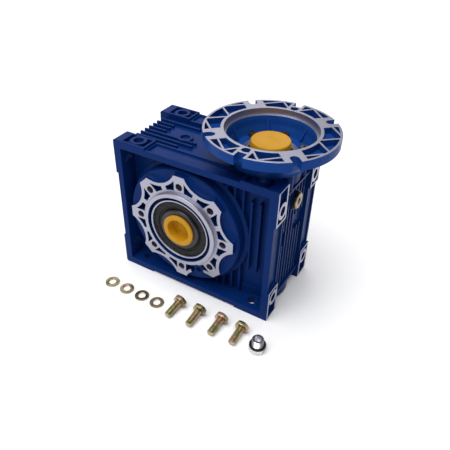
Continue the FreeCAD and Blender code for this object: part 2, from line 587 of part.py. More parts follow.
    # Cast-on cover: dome and pilot, and the ring that the bolted cover sits on
    front_dome = turned("front_dome", cover_outline([
        ("dims.output_bearing_dia / 2", "dims.frame_inner - dims.spigot_end"),
        ("dims.dome_foot_dia / 2", "dims.frame_inner - dims.spigot_end"),
        ("dims.dome_foot_dia / 2", "dims.dome_foot"),
    ]), turn=FRONT)
    faced, star_holes = star_on("front", front_dome, FRONT)
    adds.append(faced)
    adds.append(ring("rear_seat", "dims.gear_opening_dia / 2", "dims.dome_foot_dia / 2",
                     "dims.frame_inner - dims.spigot_end", "dims.dome_foot", turn=REAR))
    # Fins and cross lips on the four sides of the middle
    for k in FIN_LANES:
        lane = (f"{k} * dims.fin_pitch - dims.fin_thick / 2", f"{k} * dims.fin_pitch + dims.fin_thick / 2")
        tall = ("-" + LIP_HEIGHT, LIP_HEIGHT)
        name = f"fin_{k + 3}"
        stretches = [tall]
        if k in BROKEN_FINS:
            stop, restart = BROKEN_FINS[k]
            stretches = [(tall[0], stop), (restart, tall[1])]
        right = (skin_high_x + " - 1", skin_high_x + " + dims.fin_rise")
        for part, stretch in enumerate(stretches):
            adds.append(block(f"{name}_right_{part}", right, lane, stretch))
        adds.append(block(name + "_left", (skin_low_x + " - dims.fin_rise", skin_low_x + " + 1"), lane, tall))
        adds.append(block(name + "_top", (skin_low_x, TOP_FIN_ENDS[k]), lane,
                          (skin_high_z + " - 1", skin_high_z + " + dims.fin_rise")))
        adds.append(block(name + "_bottom", (skin_low_x, BOTTOM_FIN_END), lane,
                          (skin_low_z + " - dims.fin_rise", skin_low_z + " + 1")))
    for name, low in (("lower", f"-{LIP_HEIGHT} - dims.lip_thick"), ("upper", LIP_HEIGHT)):
        high = f"{low} + dims.lip_thick"
        reach = skin_high_x + " + dims.skin_inset - dims.pad_step"
        adds.append(block("lip_" + name, (skin_high_x + " - 1", reach), waist, (low, high)))
    # The case's wall under the lower lip goes on down to the frames' edge
    adds.append(block("heel", (skin_high_x + " - dims.frame_wall", skin_high_x), waist,
                      (f"{low_z} + dims.pad_step", f"{skin_low_z} + 1")))
    # Ribs in the front and rear recesses; those clear of the dome are shorter
    free_z = (f"{room_z[0]} + dims.rib_bottom_gap", f"{room_z[1]} - dims.rib_top_gap")
    for k in range(RIBS):
        middle = f"{k} * dims.rib_pitch + dims.rib_start"
        lane = (f"{middle} - dims.rib_thick / 2", f"{middle} + dims.rib_thick / 2")
        rise = "dims.frame_inner + dims.rib_rise"
        span = free_z if k in FREE_RIBS else room_z
        adds.append(block(f"rib_front_{k}", lane, ("-(" + rise + ")", "-" + inner + " + 1"), span))
        adds.append(block(f"rib_rear_{k}", lane, (inner + " - 1", rise), span))
    # Collars round the worm's bearings, with the flange's screw bosses
    axis = (WORM_AXIS[0], "0")
    adds.append(rod("collar_top", "z", "dims.worm_collar_dia / 2", LIP_HEIGHT, high_z, axis))
    adds.append(rod("collar_bottom", "z", "dims.worm_collar_dia / 2", f"{low_z} + dims.pad_step",
                    "-" + LIP_HEIGHT, axis))
    for k in range(SCREWS_IN_FLANGE):
        x, y = on_circle("dims.input_screw_circle / 2", 30 + 60 * k)
        adds.append(rod(f"screw_boss_{k}", "z", "dims.socket_shank_dia / 2 + dims.input_boss_wall",
                        f"{high_z} - dims.input_boss_length", high_z, (f"{WORM_AXIS[0]} + {x}", y)))
    adds.append(rod("level_boss", "x", "dims.level_boss_dia / 2", skin_high_x + " - 4",
                    LEVEL_SEAT, ("0", "dims.level_plug_height")))
    top_boss = ("dims.top_boss_x", "dims.top_boss_y")
    adds.append(rod("top_boss", "z", "dims.top_boss_dia / 2", skin_high_z + " - 1",
                    skin_high_z + " + dims.fin_rise", top_boss))
    outside = joined("case_outside", [feet] + adds)

    inside = []
    inside.append(rod("gear_room", "y", "dims.gear_opening_dia / 2", "-dims.dome_floor",
                      "dims.dome_foot + 1"))
    chamber = ("-dims.frame_inner + dims.wall", "dims.frame_inner - dims.wall")
    oil_x = (skin_low_x + " + dims.wall", "dims.centre_distance - dims.worm_chamber_dia / 3")
    oil_z = (skin_low_z + " + dims.wall", skin_high_z + " - dims.wall")
    inside.append(block("oil_room", oil_x, chamber, oil_z))
    start, bearing = WORM_BEARING_START, "dims.worm_bearing_dia / 2"
    inside.append(rod("worm_room", "z", "dims.worm_chamber_dia / 2", "-" + start, start, axis))
    inside.append(rod("worm_bores", "z", bearing, start, high_z + " + 1", axis))
    inside.append(rod("worm_bores_low", "z", bearing, low_z + " - 1", "-" + start, axis))
    for name, low in (("top", WORM_BEARING_END), ("bottom", f"-({WORM_BEARING_END}) - dims.circlip_thick")):
        inside.append(rod("circlip_groove_" + name, "z", bearing + " + dims.circlip_grip",
                          low, f"{low} + dims.circlip_thick", axis))
    for k in range(SCREWS_IN_FLANGE):
        x, y = on_circle("dims.input_screw_circle / 2", 30 + 60 * k)
        inside.append(rod(f"flange_thread_{k}", "z", "dims.socket_shank_dia / 2",
                          f"{high_z} - dims.input_thread_depth", high_z + " + 1",
                          (f"{WORM_AXIS[0]} + {x}", y)))
    for lobe in range(LOBES):
        at = on_circle("dims.rim_screw_circle / 2", (lobe + 0.5) * LOBE_STEP)
        inside.append(standing_rod(f"rim_thread_{lobe}", "dims.socket_shank_dia / 2",
                                   "dims.dome_foot - dims.rim_thread_depth", "dims.dome_foot + 1", at, REAR))
    inside.append(rod("level_hole", "x", "dims.level_plug_thread / 2",
                      "dims.centre_distance + dims.worm_chamber_dia / 3", LEVEL_SEAT + " + 1",
                      ("0", "dims.level_plug_height")))
    inside.append(rod("top_boss_dimple", "z", "dims.top_boss_hole / 2",
                      skin_high_z + " + dims.top_boss_floor", high_z, top_boss))
    inside += star_holes
    open_case = cut("open_case", outside, inside)
    # The bearing's boss stands inside the gear room
    boss = ring("front_boss", "dims.output_bearing_dia / 2", BEARING_BOSS, BEARING_BOSS_START,
                "dims.dome_floor + 1", turn=FRONT)
    return subpart("housing", joined("housing_cast", [open_case, boss]))


def rear_cover():
    """The bolted side cover, with the same star, pilot and bearing seat."""
    spigot = "dims.gear_opening_dia / 2 - dims.running_gap"
    groove = f"{spigot} - dims.groove_depth"
    groove_top = "dims.dome_foot - dims.groove_edge"
    spigot_inner = "dims.gear_opening_dia / 2 - dims.spigot_wall"
    rim, rim_top = "dims.dome_foot_dia / 2 - dims.cover_trim", "dims.dome_foot + dims.cover_plate"
    # The bolted cover's dome is narrower, to leave room for its screws
    narrow = "dims.gear_opening_dia / 2 + dims.narrow_dome"
    outline = cover_outline([
        ("dims.output_bearing_dia / 2", BEARING_BOSS_START),
        (BEARING_BOSS, BEARING_BOSS_START),
        (BEARING_BOSS, "dims.dome_floor"),
        (spigot_inner, "dims.dome_floor"),
        (spigot_inner, "dims.frame_inner - dims.spigot_end"),
        (spigot, "dims.frame_inner - dims.spigot_end"),
        (spigot, groove_top + " - dims.groove_width"),
        (groove, groove_top + " - dims.groove_width"),
        (groove, groove_top),
        (spigot, groove_top),
        (spigot, "dims.dome_foot + dims.seat_gap"),
        (rim, "dims.dome_foot + dims.seat_gap"),
        (rim, rim_top),
        (narrow, rim_top),
    ])
    outline = [corner for corner in outline if corner[1] != "dims.dome_foot + 1.5"]
    narrower = {"dims.dome_dia / 2": narrow, "dims.dome_dia / 2 - 1.5": narrow + " - 1.5"}
    outline = [(narrower.get(r, r), w) for r, w in outline]
    dome = turned("rear_dome", outline, turn=REAR)
    faced, holes = star_on("rear", dome, REAR)
    for lobe in range(LOBES):
        at = on_circle("dims.rim_screw_circle / 2", (lobe + 0.5) * LOBE_STEP)
        holes.append(standing_rod(f"rim_hole_{lobe}", "dims.socket_shank_dia / 2 + dims.loose_gap",
                                  "dims.dome_foot - 1", rim_top + " + 1", at, REAR))
    subpart("rear_cover", cut("rear_cover_drilled", faced, holes))
    ring_middle = f"({groove} + dims.o_ring_thick / 2)"
    o_ring = doc.addObject("Part::Torus", "cover_o_ring_torus")
    o_ring.setExpression("Radius1", ring_middle)
    o_ring.setExpression("Radius2", "dims.o_ring_drawn / 2")
    place(o_ring, ("0", groove_top + " - dims.groove_width / 2", "0"), REAR)
    subpart("cover_o_ring", o_ring)


def socket_screw(name, at, turn):
    """A socket head screw; its head seats at the local origin and it points down local Z."""
    head = doc.addObject("Part::Cylinder", name + "_head")
    head.setExpression("Radius", "dims.socket_head_dia / 2")
    head.setExpression("Height", "dims.socket_head_height")
    shank = doc.addObject("Part::Cylinder", name + "_shank")
    shank.setExpression("Radius", "dims.socket_shank_dia / 2 - dims.running_gap")
    shank.setExpression("Height", "dims.socket_shank_length + 1")
    shank.setExpression("Placement.Base.z", "-dims.socket_shank_length")
    socket = doc.addObject("Part::Prism", name + "_socket")
    socket.Polygon = 6
    socket.setExpression("Circumradius", "dims.socket_width / 2 / cos(30 deg)")
    socket.setExpression("Height", "dims.socket_head_height")
    socket.setExpression("Placement.Base.z", "dims.socket_head_height / 2")
    return place(cut(name, joined(name + "_body", [head, shank]), [socket]), at, turn)


def screw_sets():
    """The screws of the bolted cover and of the input flange."""
    seat = "dims.dome_foot + dims.cover_plate + dims.seat_gap"
    rim = []
    for lobe in range(LOBES):
        across, up = on_circle("dims.rim_screw_circle / 2", (lobe + 0.5) * LOBE_STEP)
        rim.append(socket_screw(f"rim_screw_{lobe}", (across, seat, f"-({up})"), REAR))
    subpart("rear_cover_screws", group("rear_cover_screw_set", rim))
    flange = []
    for k in range(SCREWS_IN_FLANGE):
        x, y = on_circle("dims.input_screw_circle / 2", 30 + 60 * k)
        flange.append(socket_screw(f"flange_screw_{k}", (f"{WORM_AXIS[0]} + {x}", y,
                                                         f"{BOWL_FLOOR} + dims.seat_gap"), UPRIGHT))
    subpart("input_flange_screws", group("input_flange_screw_set", flange))


def web_pockets():
    """Pockets of the input flange: a ring between two rims, less its ribs and bolt lands."""
    depth = value_of("dims.flange_pocket") + 1
    outer = value_of("dims.flange_dia / 2 - dims.flange_rim")
    inner = value_of("dims.flange_pilot_dia / 2 + dims.flange_inner_rim")
    rib = value_of("dims.flange_rib")
    slot_land, notch_land = value_of("dims.slot_land"), value_of("dims.notch_land")

    def bar(start, end, width, extra=0.0):
        """A flat bar from one point to another, with extra length at each end."""
        step = end - start
        length = step.Length + 2 * extra
        shape = Part.makeBox(length, width, depth, Vector(-extra, -width / 2, 0))
        shape.rotate(Vector(), Vector(0, 0, 1), math.degrees(math.atan2(step.y, step.x)))
        shape.translate(start)
        return shape

    def polar(radius, degrees):
        turn = math.radians(degrees)
        return Vector(radius * math.cos(turn), radius * math.sin(turn), 0)

    def ring_point(share, degrees):
        """A point so far from the inner rim to the outer one."""
        return polar(inner + share * (outer - inner), degrees)

    keep = []
    for k in range(4):
        keep.append(bar(polar(inner - 4, 45 + 90 * k), polar(outer + 3, 45 + 90 * k), slot_land))
    for degrees in (90, 270):
        keep.append(bar(polar(inner - 4, degrees), polar(outer + 3, degrees), notch_land))
    for side in (1, -1):
        for up in (1, -1):
            def flip(point):
                return Vector(side * point.x, up * point.y, 0)
            for start, end in WEB_RIBS:
                keep.append(bar(flip(ring_point(*start)), flip(ring_point(*end)), rib, rib))
    pockets = Part.makeCylinder(outer, depth).cut(Part.makeCylinder(inner, depth))
    pockets = pockets.cut(keep[0].multiFuse(keep[1:]))
    # A round-ended pocket behind each notch, and a rib between the two
    radius, run = value_of("dims.notch_pocket_dia / 2"), value_of("dims.notch_pocket_run")
    middle = value_of("dims.notch_floor - dims.notch_wall") - run
    end = Part.makeCylinder(radius, depth, Vector(0, middle, 0)).fuse(
        Part.makeBox(2 * radius, run, depth, Vector(-radius, middle, 0)))
    return pockets.fuse([end, end.mirror(Vector(), Vector(0, 1, 0))])


def gusset_shapes():
    """The gussets between the screws, from the bowl's floor up its wall; local Z is 0 at the floor."""
    thick, floor = value_of("dims.gusset_thick"), value_of("dims.bowl_dia / 2")
    inner = floor - value_of("dims.gusset_foot")
    top = value_of(f"{FLANGE_FACE} - dims.flange_pilot_depth - {BOWL_FLOOR}") - 5
    # The outer corners lie inside the wall, and the inner ones run up to meet it
    corners = [Vector(inner, 0, -0.5), Vector(floor + 2, 0, -0.5), Vector(floor + 7, 0, top),
               Vector(floor + 5, 0, top)]
    plate = Part.Face(Part.makePolygon(corners + corners[:1])).extrude(Vector(0, thick, 0))
    plate.translate(Vector(0, -thick / 2, 0))
    plates = []
    for k in range(SCREWS_IN_FLANGE):
        copy = plate.copy()
        copy.rotate(Vector(), Vector(0, 0, 1), k * 360 / SCREWS_IN_FLANGE)
        plates.append(copy)
    return Part.makeCompound(plates)


def input_flange():
    """The motor flange: a bowl with a C-face pilot and an open web pattern."""
    seat = "dims.half_height"
    face = FLANGE_FACE
    under = f"{face} - dims.flange_thick"
    pilot_floor = f"{face} - dims.flange_pilot_depth"
    body = turned("flange_body", [
        ("dims.input_seal_dia / 2", seat + " + dims.seat_gap"),
        ("dims.flange_base_dia / 2", seat + " + dims.seat_gap"),
        ("dims.flange_base_dia / 2", seat + " + 3"),
        ("dims.bowl_dia / 2 + 5.5", BOWL_FLOOR),
        ("dims.flange_pilot_dia / 2 + 1", under + " - 4"),
        ("dims.flange_pilot_dia / 2 + 5", under),
        ("dims.flange_dia / 2", under),
        ("dims.flange_dia / 2", face),
        ("dims.flange_pilot_dia / 2", face),
        ("dims.flange_pilot_dia / 2", pilot_floor),
        ("dims.flange_pilot_dia / 2 - 3", pilot_floor),
        ("dims.flange_pilot_dia / 2 - 4.5", pilot_floor + " - 4"),
        ("dims.bowl_dia / 2 + 4", BOWL_FLOOR + " + 10"),
        ("dims.bowl_dia / 2 + 1", BOWL_FLOOR + " + 3"),
        ("dims.bowl_dia / 2 - 0.5", BOWL_FLOOR),
        ("dims.input_seal_dia / 2 + 4", BOWL_FLOOR),
        ("dims.input_seal_dia / 2 + 1", BOWL_FLOOR + " - dims.input_seal_rim"),
        ("dims.input_seal_dia / 2", BOWL_FLOOR + " - dims.input_seal_rim"),
    ], WORM_AXIS)
    gussets = place(coded("bowl_gussets", gusset_shapes()), (WORM_AXIS[0], "0", BOWL_FLOOR))
    tools = []
    pockets = coded("flange_pockets", web_pockets())
    tools.append(place(pockets, (WORM_AXIS[0], "0", f"{face} - dims.flange_pocket")))
    half_slot = "dims.flange_slot_width / 2"
    for k in range(4):
        x, y = on_circle("dims.flange_bolt_circle / 2", 45 + 90 * k)
        tools.append(rod(f"slot_end_{k}", "z", half_slot, under + " - 1", face + " + 1",
                         (f"{WORM_AXIS[0]} + {x}", y)))
        mouth = doc.addObject("Part::Box", f"slot_mouth_{k}")
        mouth.setExpression("Length", "(dims.flange_dia - dims.flange_bolt_circle) / 2 + 4")
        mouth.setExpression("Width", "dims.flange_slot_width")
        mouth.setExpression("Height", "dims.flange_thick + 2")
        turn = Rotation(Vector(0, 0, 1), 45 + 90 * k)
        edge_x, edge_y = on_circle(half_slot, 45 + 90 * k - 90)
        place(mouth, (f"{WORM_AXIS[0]} + {x} + {edge_x}", f"{y} + {edge_y}", under + " - 1"), turn)
        tools.append(mouth)
    half_notch = "dims.notch_width / 2"
    for name, low, high in (("front", "-dims.flange_dia / 2 - 1", "-dims.notch_floor"),
                            ("rear", "dims.notch_floor", "dims.flange_dia / 2 + 1")):
        across = (f"{WORM_AXIS[0]} - {half_notch}", f"{WORM_AXIS[0]} + {half_notch}")
        tools.append(block("notch_" + name, across, (low, high), (under + " - 1", face + " + 1")))
    for k in range(SCREWS_IN_FLANGE):
        x, y = on_circle("dims.input_screw_circle / 2", 30 + 60 * k)
        tools.append(rod(f"flange_hole_{k}", "z", "dims.socket_shank_dia / 2 + dims.loose_gap", seat,
                         BOWL_FLOOR + " + 1", (f"{WORM_AXIS[0]} + {x}", y)))
    subpart("input_flange", cut("input_flange_cut", joined("flange_with_gussets", [body, gussets]), tools))


def output_shaft():
    """The hollow shaft with its wheel centre, and the bronze toothed rim on it."""
    half = "dims.output_shaft_length / 2"
    journal = "dims.output_shaft_dia / 2"
    shoulder = "dims.output_bearing_start"
    web = "dims.hub_web / 2"
    rim = "dims.hub_dia / 2"
    rim_inner, sleeve = rim + " - dims.hub_rim", journal + " + dims.hub_sleeve"
    bore = "dims.output_bore_dia / 2"
    cap_seat = "dims.cap_seat_dia / 2"
    cap_end = half + " - dims.output_cap_depth"
    right = [
        (rim, "dims.wheel_width / 2"), (rim_inner, "dims.wheel_width / 2"), (rim_inner, web),
        (sleeve, web), (sleeve, shoulder), (journal, shoulder), (journal, half + " - dims.shaft_chamfer"),
        (journal + " - dims.shaft_chamfer", half), (cap_seat + " + 1", half),
        (cap_seat, half + " - 1"), (cap_seat, cap_end), (bore, cap_end),
    ]
    left = [(r, f"-({w})") for r, w in reversed(right)]
    shaft = turned("hollow_shaft_turning", right + left, turn=REAR)
    key = block("output_keyway", ("-dims.output_key_width / 2", "dims.output_key_width / 2"),
                (f"-({half}) - 1", f"{half} + 1"), ("0", bore + " + dims.output_key_depth"))
    subpart("hollow_shaft", cut("hollow_shaft_keyed", shaft, [key]))
    subpart("worm_wheel", coded("worm_wheel_rim", wheel_shape()))


def wheel_shape():
    """The bronze rim: involute teeth at the worm's lead angle, with a tooth gap facing the worm."""
    module, teeth = value_of("dims.gear_module"), int(value_of("dims.wheel_teeth"))
    pitch_radius = module * teeth / 2
    worm_radius = value_of("dims.centre_distance") - pitch_radius
    pressure = math.radians(PRESSURE_ANGLE)
    base = pitch_radius * math.cos(pressure)
    tip, root = pitch_radius + ADDENDUM * module, pitch_radius - DEDENDUM * module
    thickness = math.pi * module / 2 - value_of("dims.backlash") / 2

    def involute(angle):
        return math.tan(angle) - angle

    def half_angle(radius):
        roll = math.acos(min(1.0, base / radius))
        return thickness / (2 * pitch_radius) + involute(pressure) - involute(roll)

    radii = [root, base + 0.6, pitch_radius, tip]
    width = value_of("dims.wheel_width")
    twist = module / (2 * worm_radius) / pitch_radius * width / 2

    def section(y, turn):
        points = []
        for tooth in range(teeth):
            middle = (tooth + 0.5) * 2 * math.pi / teeth
            flank = [(r, half_angle(max(r, base))) for r in radii]
            for radius, offset in flank:
                points.append((radius, middle - offset))
            for radius, offset in reversed(flank):
                points.append((radius, middle + offset))
        corners = [Vector(r * math.cos(a - turn), y, r * math.sin(a - turn)) for r, a in points]
        return Part.makePolygon(corners + corners[:1])

    blank = Part.makeLoft([section(-width / 2, -twist), section(width / 2, twist)], True, True)
    seat = value_of("dims.hub_dia / 2 + dims.seat_gap")
    bore = Part.makeCylinder(seat, width + 2, Vector(0, -width / 2 - 1, 0), Vector(0, 1, 0))
    return blank.cut(bore)


def worm():
    """The worm: hollow input end, right-hand thread of one start, two bearing seats."""
    root = f"(dims.centre_distance - dims.gear_module * (dims.wheel_teeth / 2 + {DEDENDUM}))"
    neck = "dims.thread_length / 2 + 2"
    journal = "dims.worm_shaft_dia / 2"
    relief = journal + " - dims.worm_relief"
    shoulder = "dims.worm_shoulder_dia / 2"
    start = WORM_BEARING_START
    shoulder_end = f"({start} - dims.worm_shoulder_length)"
    end = WORM_BEARING_END
    nose = WORM_NOSE
    core = turned("worm_core", [
        ("0", f"-{end}"), (journal, f"-{end}"), (journal, f"-{start}"), (shoulder, f"-{start}"),
        (shoulder, f"-{shoulder_end}"), (relief, f"-({shoulder_end} - 4)"), (relief, f"-({neck} + 8)"),
        (root, f"-({neck})"), (root, neck), (relief, f"{neck} + 8"), (relief, f"{shoulder_end} - 4"),
        (shoulder, shoulder_end), (shoulder, start), (journal, start), (journal, f"{nose} - 1"),
        (journal + " - 1", nose), ("0", nose),
    ])
    bore = rod("input_bore", "z", "dims.input_bore_dia / 2", f"{nose} - dims.input_bore_depth", f"{nose} + 1")
    key = block("input_keyway", ("-dims.input_key_width / 2", "dims.input_key_width / 2"),
                ("0", "dims.input_bore_dia / 2 + dims.input_key_depth"),
                (f"{nose} - dims.input_bore_depth + dims.input_key_end", f"{nose} + 1"))
    bored = cut("worm_bored", core, [bore, key])
    threaded = doc.addObject("Part::Fuse", "threaded_worm")
    threaded.Base = bored
    threaded.Tool = coded("worm_thread", thread_shape())
    subpart("worm", place(threaded, WORM_AXIS), refine=False)


def thread_shape():
    """The worm's thread: a straight-sided section swept along a helix, its middle facing the wheel."""
    module = value_of("dims.gear_module")
    lead = math.pi * module
    pitch_radius = value_of("dims.centre_distance - dims.gear_module * dims.wheel_teeth / 2")
    thickness = lead / 2 - value_of("dims.backlash") / 2
    slope = math.tan(math.radians(PRESSURE_ANGLE))
    tip, root = pitch_radius + ADDENDUM * module, pitch_radius - DEDENDUM * module
    tip_half = thickness / 2 - (tip - pitch_radius) * slope
    root_half = thickness / 2 + (pitch_radius - root + 0.5) * slope
    turns = int(value_of("dims.thread_length") / lead)
    length = turns * lead
    # At mid-height the thread's middle faces the wheel, half a turn from the helix's start side
    low = -length / 2 if turns % 2 else -length / 2 + lead / 2
    helix = Part.makeHelix(lead, length, pitch_radius)
    helix.translate(Vector(0, 0, low))
    corners = [Vector(root - 0.5, 0, low - root_half), Vector(tip, 0, low - tip_half),
               Vector(tip, 0, low + tip_half), Vector(root - 0.5, 0, low + root_half)]
    profile = Part.makePolygon(corners + corners[:1])
    thread = Part.Wire(helix).makePipeShell([profile], True, True)
    return thread


def bearings_and_seals():
    """Shielded ball bearings as an outer and an inner ring each, and the oil seals."""
    b_in, b_out = "dims.output_shaft_dia / 2 + dims.seat_gap", "dims.output_bearing_dia / 2 - dims.seat_gap"
    middle = "(dims.output_shaft_dia + dims.output_bearing_dia) / 4 - 5"
    start = "dims.output_bearing_start + dims.seat_gap"
    end = "dims.output_bearing_start + dims.output_bearing_width - dims.seat_gap"
    seal_start = end + " + dims.seal_set_back"
    seal_end = seal_start + " + dims.output_seal_width"
    for side, turn in (("front", FRONT), ("rear", REAR)):
        subpart(f"{side}_bearing_outer_ring", ring(f"{side}_outer_ring", middle + " + dims.ring_gap", b_out,
                                                   start, end, turn=turn))
        subpart(f"{side}_bearing_inner_ring", ring(f"{side}_inner_ring", b_in, middle, start, end, turn=turn))
        lip = "dims.output_shaft_dia / 2 + dims.running_gap"
        subpart(f"{side}_oil_seal", ring(f"{side}_seal", lip, "dims.output_seal_dia / 2 - dims.seat_gap",
                                         seal_start, seal_end, turn=turn))
    w_in, w_out = "dims.worm_shaft_dia / 2 + dims.seat_gap", "dims.worm_bearing_dia / 2 - dims.seat_gap"
    w_mid = "(dims.worm_shaft_dia + dims.worm_bearing_dia) / 4 - 3"
    w_start = f"{WORM_BEARING_START} + dims.seat_gap"
    w_end = f"{WORM_BEARING_END} - dims.seat_gap"
    for side, low, high in (("upper", w_start, w_end), ("lower", f"-({w_end})", f"-({w_start})")):
        subpart(f"{side}_worm_bearing_outer_ring",
                ring(f"{side}_worm_outer", w_mid + " + dims.ring_gap", w_out, low, high, WORM_AXIS))
        subpart(f"{side}_worm_bearing_inner_ring",
                ring(f"{side}_worm_inner", w_in, w_mid, low, high, WORM_AXIS))
    seal_face = f"{BOWL_FLOOR} - dims.input_seal_sink"
    subpart("input_oil_seal", ring("input_seal", "dims.worm_shaft_dia / 2 + dims.running_gap",
                                   "dims.input_seal_dia / 2 - dims.seat_gap",
                                   f"{seal_face} - dims.input_seal_width", seal_face, WORM_AXIS))
    grip = "dims.worm_bearing_dia / 2 + dims.circlip_grip - dims.seat_gap"
    clip_inner = "dims.worm_bearing_dia / 2 - dims.circlip_reach"
    clips = []
    for side, low in (("upper", WORM_BEARING_END + " + dims.seat_gap"),
                      ("lower", f"-({WORM_BEARING_END} + dims.circlip_thick) + dims.seat_gap")):
        high = f"{low} + dims.circlip_thick - 2 * dims.seat_gap"
        full = ring(f"{side}_circlip_ring", clip_inner, grip, low, high, WORM_AXIS)
        across = (WORM_AXIS[0] + " - dims.circlip_mouth / 2", WORM_AXIS[0] + " + dims.circlip_mouth / 2")
        gap = block(f"{side}_circlip_gap", across, ("0", "dims.worm_bearing_dia"),
                    (f"{low} - 1", f"{high} + 1"))
        clips.append(cut(f"{side}_circlip", full, [gap]))
    subpart("worm_circlips", group("worm_circlip_pair", clips))
    cap_top = f"-({WORM_BEARING_END} + dims.circlip_thick)"
    cap_low = cap_top + " - dims.end_cap_thick"
    edge = "dims.worm_bearing_dia / 2 - dims.seat_gap"
    subpart("worm_end_cap", turned("worm_end_cap_turning", [
        ("0", cap_low), (edge + " - 1", cap_low), (edge, cap_low + " + 1"), (edge, cap_top), ("0", cap_top),
    ], WORM_AXIS))


def caps_and_plugs():
    """Transport caps, the oil level plug and its gasket."""
    half = "dims.output_shaft_length / 2"
    bore = "dims.cap_seat_dia / 2 - dims.running_gap"
    bottom = half + " - dims.output_cap_depth + dims.running_gap"
    seat = half + " + dims.seat_gap"
    for side, turn in (("front", FRONT), ("rear", REAR)):
        subpart(f"{side}_bore_cap", turned(f"{side}_cap", [
            ("0", bottom), (bore + " - 1", bottom), (bore, bottom + " + 2"), (bore, seat),
            ("dims.output_cap_dia / 2", seat),
            ("dims.output_cap_dia / 2", seat + " + dims.output_cap_flange - 0.6"),
            ("dims.output_cap_dia / 2 - 0.6", seat + " + dims.output_cap_flange"),
            (bore + " - 1.5", seat + " + dims.output_cap_flange"),
            (bore + " - dims.cap_wall", bottom + " + dims.cap_wall"), ("0", bottom + " + dims.cap_wall"),
        ], turn=turn))
    hollow = "dims.worm_shaft_dia / 2 + dims.running_gap"
    floor = f"{WORM_NOSE} + dims.seat_gap"
    top = floor + " + dims.input_cap_roof"
    low = top + " - dims.input_cap_height"
    subpart("input_cap", turned("input_cap_turning", [
        (hollow, low), ("dims.input_cap_dia / 2", low), ("dims.input_cap_dia / 2 - 0.7", top + " - 0.8"),
        ("dims.input_cap_dia / 2 - 1.5", top), ("0", top), ("0", floor), (hollow, floor),
    ], WORM_AXIS))
    thread = "dims.level_plug_thread / 2 - dims.running_gap"
    head_seat = LEVEL_SEAT + " + dims.gasket_thick + 2 * dims.seat_gap"
    at = ("0", "0", "dims.level_plug_height")
    tip = head_seat + " - dims.level_plug_length"
    plug = turned("level_plug_turning", [
        ("0", tip), (thread + " - 1", tip), (thread, tip + " + 1"), (thread, head_seat),
        ("dims.level_plug_dia / 2", head_seat),
        ("dims.level_plug_dia / 2", head_seat + " + dims.level_plug_head - 0.8"),
        ("dims.level_plug_dia / 2 - 0.8", head_seat + " + dims.level_plug_head"),
        ("0", head_seat + " + dims.level_plug_head"),
    ], at, SIDEWAYS)
    socket = doc.addObject("Part::Prism", "level_plug_socket")
    socket.Polygon = 6
    socket.setExpression("Circumradius", "dims.level_socket_width / 2 / cos(30 deg)")
    socket.setExpression("Height", "dims.level_plug_head * 2")
    place(socket, (head_seat + " - dims.level_plug_head * 2 / 3", at[1], at[2]), SIDEWAYS)
    subpart("level_plug", cut("level_plug_socketed", plug, [socket]))
    subpart("level_plug_gasket",
            ring("level_gasket", "dims.level_plug_thread / 2 + dims.loose_gap", "dims.gasket_dia / 2",
                 LEVEL_SEAT + " + dims.seat_gap", LEVEL_SEAT + " + dims.gasket_thick + dims.seat_gap",
                 at, SIDEWAYS))


